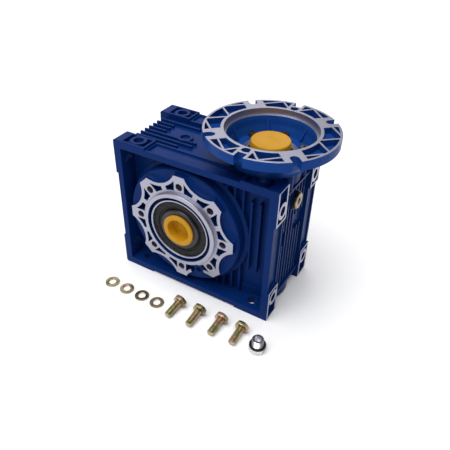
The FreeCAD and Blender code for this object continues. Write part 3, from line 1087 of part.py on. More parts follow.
def loose_kit():
    """What lies beside the reducer: four washers, four bolts and the breather plug."""
    ground = "-dims.half_height"
    washers = []
    for k, x in enumerate(WASHERS_AT):
        at = (str(x), "-dims.washer_row")
        top = ground + " + dims.washer_thick"
        disc = rod(f"washer_disc_{k}", "z", "dims.washer_dia / 2", ground, top, at)
        eye = rod(f"washer_eye_{k}", "z", "dims.washer_bore_dia / 2", ground + " - 1", top + " + 1", at)
        washers.append(cut(f"washer_{k}", disc, [eye]))
    subpart("mounting_washers", group("mounting_washer_set", washers))

    # Each bolt rests on a flat of its head and on its tip, so it leans a little
    lean = math.degrees(math.atan(value_of("(dims.bolt_head_width - dims.bolt_dia) / 2 / dims.bolt_length")))
    bolts = []
    for k, (tip, head) in enumerate(BOLTS_AT):
        turn = Rotation(Vector(0, 0, 1), math.degrees(math.atan2(head[1] - tip[1], head[0] - tip[0])))
        turn = turn.multiply(Rotation(Vector(0, 1, 0), 90 - lean))
        shank = doc.addObject("Part::Cylinder", f"bolt_shank_{k}")
        shank.setExpression("Radius", "dims.bolt_dia / 2")
        shank.setExpression("Height", "dims.bolt_length + 1")
        cap = doc.addObject("Part::Prism", f"bolt_head_{k}")
        cap.Polygon = 6
        cap.setExpression("Circumradius", "dims.bolt_head_width / 2 / cos(30 deg)")
        cap.setExpression("Height", "dims.bolt_head_height")
        place(cap, ("0", "0", "dims.bolt_length"), Rotation(Vector(0, 0, 1), 30))
        bolt = joined(f"bolt_{k}", [shank, cap])
        place(bolt, (str(tip[0]), str(tip[1]), f"{ground} + dims.bolt_dia / 2 * cos({lean} deg)"), turn)
        bolts.append(bolt)
    subpart("mounting_bolts", group("mounting_bolt_set", bolts))

    at = (str(BREATHER_AT[0]), str(BREATHER_AT[1]), ground)
    hexagon = doc.addObject("Part::Prism", "breather_hexagon")
    hexagon.Polygon = 6
    hexagon.setExpression("Circumradius", "dims.breather_width / 2 / cos(30 deg)")
    hexagon.setExpression("Height", "dims.breather_head")
    place(hexagon, at)
    thread = "dims.level_plug_thread / 2"
    stem = turned("breather_stem", [
        ("0", "dims.breather_head - 1"), ("dims.level_plug_dia / 2", "dims.breather_head - 1"),
        ("dims.level_plug_dia / 2", "dims.breather_head + 1"), (thread, "dims.breather_head + 1"),
        (thread, "dims.breather_length - 1"), (thread + " - 1", "dims.breather_length"),
        ("0", "dims.breather_length"),
    ], at)
    end = f"{ground} + dims.breather_length"
    eye = rod("breather_eye", "z", "dims.breather_bore / 2", end + " - dims.breather_bore_depth",
              end + " + 1", at[:2])
    subpart("breather_plug", cut("breather_plug_bored", joined("breather_solid", [hexagon, stem]), [eye]))
    o_ring = doc.addObject("Part::Torus", "breather_o_ring_torus")
    o_ring.setExpression("Radius1", thread + " + dims.breather_ring / 2 + dims.running_gap")
    o_ring.setExpression("Radius2", "dims.breather_ring / 2")
    seat = f"{ground} + dims.breather_head + 1 + dims.seat_gap"
    place(o_ring, (at[0], at[1], seat + " + dims.breather_ring / 2"))
    subpart("breather_o_ring", o_ring)


def check(things):
    """Stop if anything in the document failed, or a piece isn't a valid solid."""
    doc.recompute()
    for thing in doc.Objects:
        if any(word in ("Invalid", "Error") for word in thing.State):
            raise RuntimeError(f"{thing.Name} ({thing.Label}) failed: {thing.State}")
    for thing in things:
        shape = thing.Shape
        if shape.isNull() or not shape.isValid() or not shape.Solids:
            raise RuntimeError(f"{thing.Label} has no valid solid")


housing()
rear_cover()
screw_sets()
input_flange()
output_shaft()
worm()
bearings_and_seals()
caps_and_plugs()
loose_kit()
check(subparts)

os.makedirs("parts", exist_ok=True)
for piece in subparts:
    piece.Shape.exportStep(os.path.join("parts", piece.Label + ".step"))
    print(f"{piece.Label}: {len(piece.Shape.Solids)} solids, {piece.Shape.Volume / 1000:.1f} cm3")
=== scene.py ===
import math

import bpy
from mathutils import Matrix, Vector


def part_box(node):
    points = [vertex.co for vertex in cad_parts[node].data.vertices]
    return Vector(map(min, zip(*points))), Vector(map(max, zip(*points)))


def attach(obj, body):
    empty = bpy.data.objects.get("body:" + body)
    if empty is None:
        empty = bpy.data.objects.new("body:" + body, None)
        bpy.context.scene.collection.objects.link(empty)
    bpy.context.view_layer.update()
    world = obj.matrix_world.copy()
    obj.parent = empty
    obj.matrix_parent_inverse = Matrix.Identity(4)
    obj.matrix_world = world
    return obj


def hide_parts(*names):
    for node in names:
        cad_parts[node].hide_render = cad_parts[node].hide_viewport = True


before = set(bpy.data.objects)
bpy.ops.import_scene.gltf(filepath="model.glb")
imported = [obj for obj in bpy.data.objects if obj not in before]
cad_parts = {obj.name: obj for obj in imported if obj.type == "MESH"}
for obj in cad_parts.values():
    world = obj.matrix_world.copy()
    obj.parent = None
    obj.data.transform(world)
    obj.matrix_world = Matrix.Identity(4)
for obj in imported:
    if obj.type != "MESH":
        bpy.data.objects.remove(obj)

bl_info = {
    "name": "Worm gear reducer finishes",
    "version": (1, 0, 0),
    "blender": (4, 5, 0),
    "location": "View3D > Sidebar > Reducer",
    "description": "Finishes and small pieces of a worm gear reducer, laid over its packed solids",
    "category": "Object",
}

MM = 0.001
TURN = 2 * math.pi
X, Y, Z = Vector((1, 0, 0)), Vector((0, 1, 0)), Vector((0, 0, 1))
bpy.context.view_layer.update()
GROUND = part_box("housing")[0].z

# The worm's axis runs along Z, this far from the output bore's, which runs along Y through the origin
CENTRE_DISTANCE = 90 * MM
CASTINGS = ("housing", "rear_cover")
BEARINGS = [f"{bearing}_bearing_{ring}_ring" for bearing in ("front", "rear", "upper_worm", "lower_worm")
            for ring in ("outer", "inner")]


def linear(text):
    """A linear colour from an sRGB hex one."""
    parts = [int(text[i:i + 2], 16) / 255 for i in (1, 3, 5)]
    return tuple(c / 12.92 if c <= 0.04045 else ((c + 0.055) / 1.055) ** 2.4 for c in parts) + (1.0,)


def toned(shade, factor):
    """A linear colour made darker or lighter by a factor."""
    return [c * factor for c in shade[:3]] + [1]


# Properties

def colour(name, text, description):
    """A colour that a user may change."""
    return bpy.props.FloatVectorProperty(name=name, subtype="COLOR", size=4, min=0, max=1,
                                         default=linear(text), description=description)


def length(name, millimetres, description):
    """A length that a user may change."""
    return bpy.props.FloatProperty(name=name, unit="LENGTH", default=millimetres * MM, min=0, precision=5,
                                   description=description)


def count(name, number, least, description):
    """A number of like details that a user may change."""
    return bpy.props.IntProperty(name=name, default=number, min=least, description=description)


class ReducerColours(bpy.types.PropertyGroup):
    """Colours of the finishes."""
    enamel: colour("Enamel", "#072b69", "Blue paint of the case")
    # The flange's own blue paint, set lighter than the case's: the extra lightness is painted light, a
    # painted highlight for the bright light that falls into the flange's bowl
    flange_enamel_with_painted_light: colour("Flange enamel", "#154089", "Blue paint of the motor flange, a lighter coat")
    bare: colour("Bare aluminium", "#b0b0c0", "Faces that were machined after painting")
    plastic: colour("Cap plastic", "#c79414", "Moulded caps")
    rubber: colour("Rubber", "#111113", "Seals, gasket and O-rings")
    hub: colour("Hub steel", "#4a484c", "Turned hollow shaft")
    nickel: colour("Nickel", "#8c8069", "Plated oil plug")


class ReducerSizes(bpy.types.PropertyGroup):
    """Sizes of the details that are modelled here."""
    casting_edge: length("Casting edge", 0.9, "Radius that paint and casting leave on an edge")
    seal_notches: count("Seal notches", 12, 0, "Short notches round an oil seal's face")
    knurls: count("Knurls", 36, 8, "Ridges round a socket screw's head")
    bolt_pitch: length("Bolt pitch", 1.5, "Thread pitch of the loose bolts")
    plug_pitch: length("Plug pitch", 1.5, "Thread pitch of the breather plug")


# Modelling

def clear():
    """Leave edit mode with nothing selected."""
    if bpy.context.object and bpy.context.object.mode != "OBJECT":
        bpy.ops.object.mode_set(mode="OBJECT")
    bpy.ops.object.select_all(action="DESELECT")


def alone(piece):
    """Select one piece and nothing else."""
    clear()
    piece.select_set(True)
    bpy.context.view_layer.objects.active = piece


def modified(piece, kind, **settings):
    """Add a modifier, set it and apply it."""
    alone(piece)
    modifier = piece.modifiers.new(kind.title(), kind)
    for name, value in settings.items():
        setattr(modifier, name, value)
    bpy.ops.object.modifier_apply(modifier=modifier.name)
    return piece


def softened(piece, millimetres):
    """Round a piece's edges a little, as a mould or a tool leaves them."""
    return modified(piece, "BEVEL", width=millimetres * MM, segments=2, limit_method="ANGLE",
                    angle_limit=math.radians(35))


def drawn(profile):
    """A line drawn point by point through (radius, height) pairs in mm; it stays in edit mode."""
    clear()
    points = [Vector((radius, 0, height)) * MM for radius, height in profile]
    bpy.ops.mesh.primitive_plane_add(size=MM)
    bpy.ops.object.mode_set(mode="EDIT")
    bpy.ops.mesh.select_all(action="SELECT")
    bpy.ops.mesh.merge(type="CENTER")
    bpy.ops.transform.translate(value=points[0])
    for before, after in zip(points, points[1:]):
        bpy.ops.mesh.extrude_vertices_move(TRANSFORM_OT_translate={"value": after - before})
    return bpy.context.object


def closed():
    """Merge the doubles of the mesh in edit mode, point its faces outwards and leave edit mode."""
    bpy.ops.mesh.select_all(action="SELECT")
    bpy.ops.mesh.remove_doubles(threshold=1e-6)
    bpy.ops.mesh.normals_make_consistent(inside=False)
    bpy.ops.object.mode_set(mode="OBJECT")


def turned(profile, steps=96):
    """A turned piece round Z from its outline."""
    piece = drawn(profile)
    bpy.ops.mesh.select_all(action="SELECT")
    bpy.ops.mesh.spin(steps=steps, angle=TURN, center=(0, 0, 0), axis=(0, 0, 1))
    closed()
    return piece


def prism(corners, across, low, high):
    """A prism of so many corners round Z, its width across flats and its two heights in mm."""
    clear()
    radius = across / 2 / math.cos(math.pi / corners)
    bpy.ops.mesh.primitive_cylinder_add(vertices=corners, radius=radius * MM, depth=(high - low) * MM,
                                        location=(0, 0, (low + high) / 2 * MM))
    bpy.ops.object.transform_apply(location=True)
    return bpy.context.object


def combined(base, tool, operation):
    """Boolean of two closed pieces; the tool is used up."""
    modified(base, "BOOLEAN", object=tool, operation=operation, solver="EXACT")
    bpy.data.objects.remove(tool)
    return base


def merged(pieces):
    """Join pieces into one object."""
    alone(pieces[0])
    for piece in pieces[1:]:
        piece.select_set(True)
    bpy.ops.object.join()
    return bpy.context.object


def thread(outer, depth, pitch, low, high):
    """A closed threaded rod round Z from low to high, in mm, with a chamfered end at the top."""
    # The turns start too low and end too high, and are then cut to length
    inner, start = outer - depth, low - 2 * pitch
    outline = ((inner, 0), (inner, 0.1), (outer, 0.46), (outer, 0.56), (inner, 0.9), (inner, 1))
    rod = drawn([(radius, start + share * pitch) for radius, share in outline])
    turns, steps = int((high - low) / pitch) + 5, 28
    modified(rod, "SCREW", screw_offset=pitch * MM, iterations=turns, steps=steps, render_steps=steps)
    bpy.ops.object.mode_set(mode="EDIT")
    bpy.ops.mesh.select_all(action="SELECT")
    bpy.ops.mesh.remove_doubles(threshold=1e-6)
    for height, upper in ((low, False), (high, True)):
        bpy.ops.mesh.select_all(action="SELECT")
        bpy.ops.mesh.bisect(plane_co=(0, 0, height * MM), plane_no=(0, 0, 1), threshold=1e-8,
                            use_fill=True, clear_inner=not upper, clear_outer=upper)
    closed()
    cone = turned([(0, low - 1), (outer + 0.5, low - 1), (outer + 0.5, high - depth - 0.5),
                   (inner - 0.1, high + 0.1), (0, high + 0.1)], 48)
    return combined(rod, cone, "INTERSECT")


def placed(piece, at, axis=Z, spin=0.0):
    """Turn a piece made round Z so that its top points along an axis, and move it to its place."""
    turn = axis.to_track_quat("Z", "Y").to_matrix().to_4x4()
    piece.matrix_world = Matrix.Translation(at) @ turn @ Matrix.Rotation(spin, 4, "Z")
    return piece


def copy_of(piece):
    """Another piece with its own mesh."""
    other = piece.copy()
    other.data = piece.data.copy()
    bpy.context.collection.objects.link(other)
    return other


def fitted(piece, name, material, body, node):
    """Finish a new piece: put its place into its mesh, shade it smooth but for its corners, name it, give it
    its material and body, and let it stand for its node."""
    alone(piece)
    bpy.ops.object.transform_apply(location=True, rotation=True, scale=True)
    bpy.ops.object.shade_smooth_by_angle(angle=math.radians(32))
    piece.name = piece.data.name = name
    piece.data.materials.clear()
    piece.data.materials.append(material)
    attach(piece, body)
    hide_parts(node)


def fitted_at_both_ends(piece, name, material, bodies, node):
    """Finish a piece of the output bore's front end, and a copy of it at the rear end."""
    for end, made, axis, body in zip(("front", "rear"), (piece, copy_of(piece)), (-Y, Y), bodies):
        placed(made, (0, 0, 0), axis)
        fitted(made, f"{end}_{name}", material, body, f"{end}_{node}")


# Materials

def add(tree, kind, *inputs, sockets=None, **settings):
    """Add a node with its settings; what goes into a socket is a value, a node or an output."""
    made = tree.nodes.new("ShaderNode" + kind)
    for name, value in settings.items():
        setattr(made, name, value)
    for key, value in [*enumerate(inputs), *(sockets or {}).items()]:
        if isinstance(value, bpy.types.Node):
            value = value.outputs[0]
        if isinstance(value, bpy.types.NodeSocket):
            tree.links.new(value, made.inputs[key])
        elif value is not None:
            made.inputs[key].default_value = value
    return made


def new_material(name):
    """An empty material and its node tree."""
    material = bpy.data.materials.new(name)
    material.use_nodes = True
    material.node_tree.nodes.clear()
    return material, material.node_tree


def finish(tree, shader):
    """Lead a shader to the material's output."""
    add(tree, "OutputMaterial", shader)


def place(tree):
    """The object's coordinates."""
    return add(tree, "TexCoord").outputs["Object"]


def noise(tree, where, millimetres, detail, roughness, distortion=0.0):
    """A noise with spots about so many millimetres wide."""
    return add(tree, "TexNoise", where, sockets={
        "Scale": 1 / (millimetres * MM), "Detail": detail, "Roughness": roughness, "Distortion": distortion})


def mixed(tree, share, first, second):
    """A value between two; the Mix node takes values in its sockets 2 and 3."""
    return add(tree, "Mix", share, sockets={2: first, 3: second}, data_type="FLOAT")


def blended(tree, share, first, second):
    """A colour between two; the Mix node takes colours in its sockets 6 and 7."""
    return add(tree, "Mix", share, sockets={6: first, 7: second}, data_type="RGBA").outputs[2]


def distance(tree, a, b, centre=0.0):
    """How far a point is from a centre in two coordinates; the centre lies on the first one's axis."""
    flat = add(tree, "CombineXYZ", a, b, 0.0)
    return add(tree, "VectorMath", flat, (centre, 0.0, 0.0), operation="DISTANCE").outputs["Value"]


def covering(tree, *spots):
    """1 on any of the spots, else 0. A spot is a list of values with the two limits each keeps to."""
    whole = 0.0
    for spot in spots:
        inside = 1.0
        for value, low, high in spot:
            above = add(tree, "Math", value, low, operation="GREATER_THAN")
            below = add(tree, "Math", value, high, operation="LESS_THAN")
            both = add(tree, "Math", above, below, operation="MULTIPLY")
            inside = add(tree, "Math", inside, both, operation="MULTIPLY")
        whole = add(tree, "Math", whole, inside, operation="MAXIMUM")
    return whole


def enamelled_casting(name, paint, bare, edge, machined):
    """Die cast aluminium under gloss enamel: deep colour, orange peel and soft edges. Faces machined
    after painting are bare, with fine tool marks; machined gives their mask and the marks' coordinates."""
    material, tree = new_material(name)
    where = place(tree)
    mask, marks = machined(tree, *add(tree, "SeparateXYZ", where).outputs)
    peel = noise(tree, where, 1.6, 2.0, 0.5)
    cast = noise(tree, where, 9, 4.0, 0.6)
    streak = noise(tree, marks, 0.7, 3.0, 0.65)
    blue = blended(tree, cast, toned(paint, 0.85), paint)
    metal = blended(tree, streak, toned(bare, 0.86), bare)
    shade = blended(tree, mask, blue, metal)
    gloss = add(tree, "MapRange", cast, 0.3, 0.7, 0.26, 0.36)
    dull = add(tree, "MapRange", streak, 0.3, 0.7, 0.36, 0.5)
    rough = mixed(tree, mask, gloss, dull)
    relief = mixed(tree, mask, peel, streak)
    round_edge = add(tree, "Bevel", edge, samples=6)
    swell = add(tree, "Bump", sockets={
        "Strength": 0.35, "Distance": 0.25 * MM, "Height": cast, "Normal": round_edge})
    grain = add(tree, "Bump", sockets={
        "Strength": 0.2, "Distance": 0.02 * MM, "Height": relief, "Normal": swell})
    finish(tree, add(tree, "BsdfPrincipled", sockets={
        "Base Color": shade, "Metallic": mask, "Roughness": rough, "Specular IOR Level": 0.05,
        "Normal": grain}))
    return material


def lathe_marks(tree, radius, a, b, along):
    """Coordinates in which a noise runs out into fine rings, as a cutter leaves them."""
    around = add(tree, "Math", a, b, operation="ARCTAN2")
    across, slow, deep = (add(tree, "Math", value, by, operation="MULTIPLY")
                          for value, by in ((radius, 4.0), (around, 0.02), (along, 4.0)))
    return add(tree, "CombineXYZ", across, slow, deep)


def case_faces(tree, x, y, z):
    """Mask of the case's machined places: star faces, pilots, seal bores, pads on two sides and threads."""
    out = add(tree, "Math", y, operation="ABSOLUTE")
    radius = distance(tree, x, z)
    # The eight lobes' threaded holes, folded onto one
    folded = add(tree, "Math", add(tree, "Math", z, x, operation="ARCTAN2"), TURN / 16, operation="PINGPONG")
    along, aside = (add(tree, "Math", add(tree, "Math", folded, operation=side), radius, operation="MULTIPLY")
                    for side in ("COSINE", "SINE"))
    from_hole = distance(tree, along, aside, 65 * MM)
    # Each limit lies just behind its machined face, so that all of the face is bare
    star_face, star_ring, seal_bore = 66.85 * MM, 49.3 * MM, 44.7 * MM
    worm_side, far_side = 134.85 * MM, -102.85 * MM
    mask = covering(
        tree,
        [(out, star_face, 1.0), (radius, star_ring, 1.0)],
        [(out, star_face, 1.0), (radius, 0.0, seal_bore)],
        [(out, 56 * MM, 71 * MM), (radius, 0.0, seal_bore)],
        [(out, 50 * MM, 1.0), (from_hole, -1.0, 5.1 * MM)],
        [(x, worm_side, 1.0)],
        [(x, -1.0, far_side)],
    )
    return mask, lathe_marks(tree, radius, z, x, out)


def flange_faces(tree, x, y, z):
    """Mask of the flange's machined places: web, pilot recess and the ring round the seal."""
    radius = distance(tree, x, y, CENTRE_DISTANCE)
    web, recess_floor = 143.25 * MM, 134.75 * MM
    mask = covering(
        tree,
        [(z, web, 1.0)],
        [(z, recess_floor, 1.0), (radius, 53.5 * MM, 57.6 * MM)],
        [(z, 104 * MM, 114 * MM), (radius, -1.0, 34.9 * MM)],
    )
    from_axis = add(tree, "Math", x, CENTRE_DISTANCE, operation="SUBTRACT")
    return mask, lathe_marks(tree, radius, y, from_axis, z)


def turned_steel(name, shade, roughness, upright):
    """Turned and oiled steel: dark and smooth, with fine rings from the lathe every 0.6 mm, drawn twice
    as coarse as the real ones. Upright pieces run round the worm's axis, the others round the output's."""
    material, tree = new_material(name)
    where = place(tree)
    x, y, z = add(tree, "SeparateXYZ", where).outputs
    if upright:
        radius, along = distance(tree, x, y, CENTRE_DISTANCE), z
    else:
        radius, along = distance(tree, x, z), y
    ring = add(tree, "CombineXYZ", radius, 0.0, along)
    lines = noise(tree, ring, 0.6, 2.0, 0.6)
    film = noise(tree, where, 14, 3.0, 0.6)
    tint = blended(tree, film, toned(shade, 0.75), shade)
    rough = add(tree, "MapRange", lines, 0.3, 0.7, roughness - 0.06, roughness + 0.08)
    round_edge = add(tree, "Bevel", 0.25 * MM, samples=4)
    bump = add(tree, "Bump", sockets={
        "Strength": 0.4, "Distance": 0.02 * MM, "Height": lines, "Normal": round_edge})
    finish(tree, add(tree, "BsdfPrincipled", sockets={
        "Base Color": tint, "Metallic": 1.0, "Roughness": rough, "Normal": bump}))
    return material


def nitrile_rubber(name, shade):
    """Moulded nitrile rubber: near black and satin, with a fine bloom and the mould's 0.4 mm texture."""
    material, tree = new_material(name)
    where = place(tree)
    bloom = noise(tree, where, 7, 4.0, 0.6)
    skin = noise(tree, where, 0.4, 2.0, 0.5)
    tint = blended(tree, bloom, shade, toned(shade, 2.2))
    rough = add(tree, "MapRange", bloom, 0.3, 0.7, 0.42, 0.58)
    bump = add(tree, "Bump", sockets={"Strength": 0.25, "Distance": 0.03 * MM, "Height": skin})
    finish(tree, add(tree, "BsdfPrincipled", sockets={
        "Base Color": tint, "Roughness": rough, "IOR": 1.52, "Specular IOR Level": 0.2,
        "Normal": bump}))
    return material


def moulded_plastic(name, shade):
    """Injection moulded polyethylene: warm and a little translucent, satin, with faint flow marks."""
    material, tree = new_material(name)
    where = place(tree)
    flow = noise(tree, where, 11, 3.0, 0.5)
    skin = noise(tree, where, 0.5, 2.0, 0.5)
    deep = (shade[0] * 0.86, shade[1] * 0.76, shade[2] * 0.6, 1)
    tint = blended(tree, flow, deep, shade)
    rough = add(tree, "MapRange", flow, 0.3, 0.7, 0.36, 0.48)
    bump = add(tree, "Bump", sockets={"Strength": 0.3, "Distance": 0.02 * MM, "Height": skin})
    finish(tree, add(tree, "BsdfPrincipled", sockets={
        "Base Color": tint, "Roughness": rough, "IOR": 1.51, "Specular IOR Level": 0.2,
        "Subsurface Weight": 0.08, "Subsurface Radius": (0.004, 0.002, 0.0008), "Subsurface Scale": 0.5,
        "Normal": bump}))
    return material


def yellow_zinc(name):
    """Yellow passivated zinc: a thin film that shifts from straw to pink and green over a few mm."""
    material, tree = new_material(name)
    where = place(tree)
    film = noise(tree, where, 9, 3.0, 0.55, 0.6)
    hues = add(tree, "ValToRGB", film)
    stops = hues.color_ramp.elements
    stops.remove(stops[1])
    stops[0].position, stops[0].color = 0.32, linear("#94736a")
    for position, text in ((0.4, "#bc9c86"), (0.47, "#b8a688"), (0.55, "#a89f76"), (0.66, "#7c8862")):
        stops.new(position).color = linear(text)
    grit = noise(tree, where, 0.5, 2.0, 0.6)
    rough = add(tree, "MapRange", grit, 0.3, 0.7, 0.22, 0.36)
    bump = add(tree, "Bump", sockets={"Strength": 0.25, "Distance": 0.02 * MM, "Height": grit})
    finish(tree, add(tree, "BsdfPrincipled", sockets={
        "Base Color": hues.outputs[0], "Metallic": 1.0, "Roughness": rough, "Normal": bump}))
    return material


def nickel_plate(name, shade):
    """Nickel plate on turned brass: warm, bright and slightly clouded."""
    material, tree = new_material(name)
    cloud = noise(tree, place(tree), 4, 3.0, 0.6)
    tint = blended(tree, cloud, toned(shade, 0.8), shade)
    rough = add(tree, "MapRange", cloud, 0.3, 0.7, 0.2, 0.34)
    bump = add(tree, "Bump", sockets={"Strength": 0.2, "Distance": 0.02 * MM, "Height": cloud})
    finish(tree, add(tree, "BsdfPrincipled", sockets={
        "Base Color": tint, "Metallic": 1.0, "Roughness": rough, "Normal": bump}))
    return material


def hobbed_bronze(name):
    """Hobbed tin bronze: brown-gold, with cutter marks across the teeth."""
    material, tree = new_material(name)
    marks = noise(tree, place(tree), 1.2, 3.0, 0.6)
    tint = blended(tree, marks, linear("#8a6234"), linear("#b98a4c"))
    rough = add(tree, "MapRange", marks, 0.3, 0.7, 0.28, 0.42)
    finish(tree, add(tree, "BsdfPrincipled", sockets={
        "Base Color": tint, "Metallic": 1.0, "Roughness": rough}))
    return material


def ready(name, make, *values):
    """A material by name, made the first time it is asked for."""
    return bpy.data.materials.get(name) or make(name, *values)


def rubber():
    """The seals' and gaskets' material."""
    shade = tuple(bpy.context.scene.reducer_colours.rubber)
    return ready("moulded_nitrile_rubber", nitrile_rubber, shade)


def plastic():
    """The caps' material."""
    shade = tuple(bpy.context.scene.reducer_colours.plastic)
    return ready("moulded_yellow_polyethylene", moulded_plastic, shade)


def zinc():
    """The screws', bolts' and washers' material."""
    return ready("yellow_passivated_zinc", yellow_zinc)


def paint_node(node, material):
    """Give a CAD node its material."""
    mesh = bpy.data.objects[node].data
    mesh.materials.clear()
    mesh.materials.append(material)


# Pieces

class REDUCER_OT_castings(bpy.types.Operator):
    """Enamel the castings and bare their machined faces"""
    bl_idname = "reducer.castings"
    bl_label = "Castings"

    def execute(self, context):
        colours, edge = context.scene.reducer_colours, context.scene.reducer_sizes.casting_edge
        for name, paint, machined, nodes in (
                ("case", colours.enamel, case_faces, CASTINGS),
                # The flange's lighter enamel carries a painted highlight for the light in its bowl
                ("flange", colours.flange_enamel_with_painted_light, flange_faces, ("input_flange",))):
            coat = enamelled_casting("blue_enamel_on_cast_" + name, tuple(paint), tuple(colours.bare), edge,
                                     machined)
            for node in nodes:
                paint_node(node, coat)
        return {"FINISHED"}


class REDUCER_OT_shafts(bpy.types.Operator):
    """Finish the shafts, bearings and gears"""
    bl_idname = "reducer.shafts"
    bl_label = "Shafts and bearings"

    def execute(self, context):
        hub = tuple(context.scene.reducer_colours.hub)
        paint_node("hollow_shaft", turned_steel("oiled_turned_steel", hub, 0.34, False))
        ground = turned_steel("ground_bearing_steel", linear("#b9b9bd"), 0.22, True)
        for node in (*BEARINGS, "worm_circlips", "worm"):
            paint_node(node, ground)
        paint_node("worm_wheel", hobbed_bronze("hobbed_bronze"))
        for node in ("cover_o_ring", "input_oil_seal", "worm_end_cap", "level_plug_gasket"):
            paint_node(node, rubber())
        return {"FINISHED"}


class REDUCER_OT_oil_seals(bpy.types.Operator):
    """Model the output oil seals with their lips and notches"""
    bl_idname = "reducer.oil_seals"
    bl_label = "Oil seals"

    def execute(self, context):
        low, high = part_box("front_oil_seal")
        outer, face, back = (high.x - low.x) / 2 / MM, -low.y / MM, -high.y / MM
        # The lip stands 0.05 mm off the hub
        hub, notch_at = 30.05, 39.4
        seal = turned([
            (outer, back), (outer, face - 0.7), (outer - 0.6, face - 0.1), (34.4, face - 0.1),
            (33.8, face - 1.4), (31.9, face - 1.6), (31.2, face - 0.5), (hub, face - 0.9), (hub, back),
            (outer, back),
        ], 120)
        notches = context.scene.reducer_sizes.seal_notches
        for k in range(notches):
            clear()
            angle = TURN * (k + 0.5) / notches
            at = Vector((notch_at * math.cos(angle), notch_at * math.sin(angle), face)) * MM
            bpy.ops.mesh.primitive_cube_add(size=MM, location=at, rotation=(0, 0, angle),
                                            scale=(2.8, 0.8, 2.2))
            combined(seal, bpy.context.object, "DIFFERENCE")
        softened(seal, 0.15)
        fitted_at_both_ends(seal, "lipped_seal", rubber(), ("case", "case"), "oil_seal")
        return {"FINISHED"}


class REDUCER_OT_caps(bpy.types.Operator):
    """Model the plastic caps of the bores"""
    bl_idname = "reducer.caps"
    bl_label = "Caps"

    def execute(self, context):
        low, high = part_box("front_bore_cap")
        rim, top, bottom = (high.x - low.x) / 2 / MM, -low.y / MM, -high.y / MM
        # The caps stand 0.03 mm off the ends of the shaft and of the worm
        plug, shaft_end = 17.95, 70.03
        cap = softened(turned([
            (0, bottom), (plug - 1.2, bottom), (plug, bottom + 1.6), (plug, shaft_end), (rim, shaft_end),
            (rim, top - 0.5), (rim - 0.5, top), (plug - 1.2, top), (plug - 1.7, top - 0.5),
            (plug - 2.6, bottom + 3.2), (plug - 3.6, bottom + 2.4), (2.2, bottom + 2.4),
            (1.6, bottom + 2.7), (0, bottom + 2.7),
        ]), 0.3)
        fitted_at_both_ends(cap, "moulded_cap", plastic(), ("front_cap", "rear_cap"), "bore_cap")

        low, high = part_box("input_cap")
        rim, bottom, top = (high.x - low.x) / 2 / MM, low.z / MM, high.z / MM
        nose, worm_end = 20.05, 122.03
        cap = softened(turned([
            (nose, bottom), (rim, bottom), (rim - 0.5, top - 1.4), (rim - 1.0, top - 0.4), (rim - 2.0, top),
            (rim - 3.0, top - 0.3), (3.0, top - 0.3), (2.4, top - 0.1), (0, top - 0.1), (0, worm_end),
            (nose, worm_end), (nose, bottom),
        ]), 0.35)
        placed(cap, (CENTRE_DISTANCE, 0, 0))
        fitted(cap, "input_moulded_cap", plastic(), "input_cap", "input_cap")
        return {"FINISHED"}


class REDUCER_OT_screws(bpy.types.Operator):
    """Model the socket head screws of the cover and of the flange"""
    bl_idname = "reducer.screws"
    bl_label = "Socket screws"
    head_height = 6.0

    def screw(self, knurls):
        """One screw round Z with the underside of its head at 0, its head knurled and socketed."""
        radius, top = 4.9, self.head_height
        socket, socket_floor, shank, tip = 5.0, 2.8, 5.8, -18
        head = turned([(0, 0), (radius - 0.5, 0), (radius, 0.5), (radius, top - 1.1), (radius - 0.7, top),
                       (0, top)], knurls * 2)
        alone(head)
        bpy.ops.object.mode_set(mode="EDIT")
        bpy.ops.mesh.select_all(action="DESELECT")
        bpy.ops.object.mode_set(mode="OBJECT")
        for vertex in head.data.vertices:
            step = math.atan2(vertex.co.y, vertex.co.x) / TURN * knurls * 2
            vertex.select = vertex.co.xy.length > (radius - 0.05) * MM and round(step) % 2 == 0
        bpy.ops.object.mode_set(mode="EDIT")
        bpy.ops.transform.resize(value=(0.965, 0.965, 1), center_override=(0, 0, 0))
        bpy.ops.object.mode_set(mode="OBJECT")
        combined(head, prism(6, socket, socket_floor, top + 1), "DIFFERENCE")
        return merged([head, softened(prism(24, shank, tip, 0.5), 0.4)])

    def execute(self, context):
        screw = self.screw(context.scene.reducer_sizes.knurls)
        cover_circle, flange_circle = 86 * MM, 41 * MM
        cover_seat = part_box("rear_cover_screws")[1].y - self.head_height * MM
        for k in range(8):
            angle = TURN * (k + 0.5) / 8
            at = Vector((cover_circle * math.cos(angle), cover_seat, cover_circle * math.sin(angle)))
            piece = placed(copy_of(screw), at, Y, 0.4 * k)
            fitted(piece, f"cover_screw_{k + 1}", zinc(), "case", "rear_cover_screws")
        flange_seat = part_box("input_flange_screws")[1].z - self.head_height * MM
        for k in range(6):
            angle = TURN * (k + 0.5) / 6
            at = Vector((CENTRE_DISTANCE + flange_circle * math.cos(angle), flange_circle * math.sin(angle),
                         flange_seat))
            piece = placed(copy_of(screw), at, Z, 0.5 * k)
            fitted(piece, f"flange_screw_{k + 1}", zinc(), "case", "input_flange_screws")
        bpy.data.objects.remove(screw)
        return {"FINISHED"}


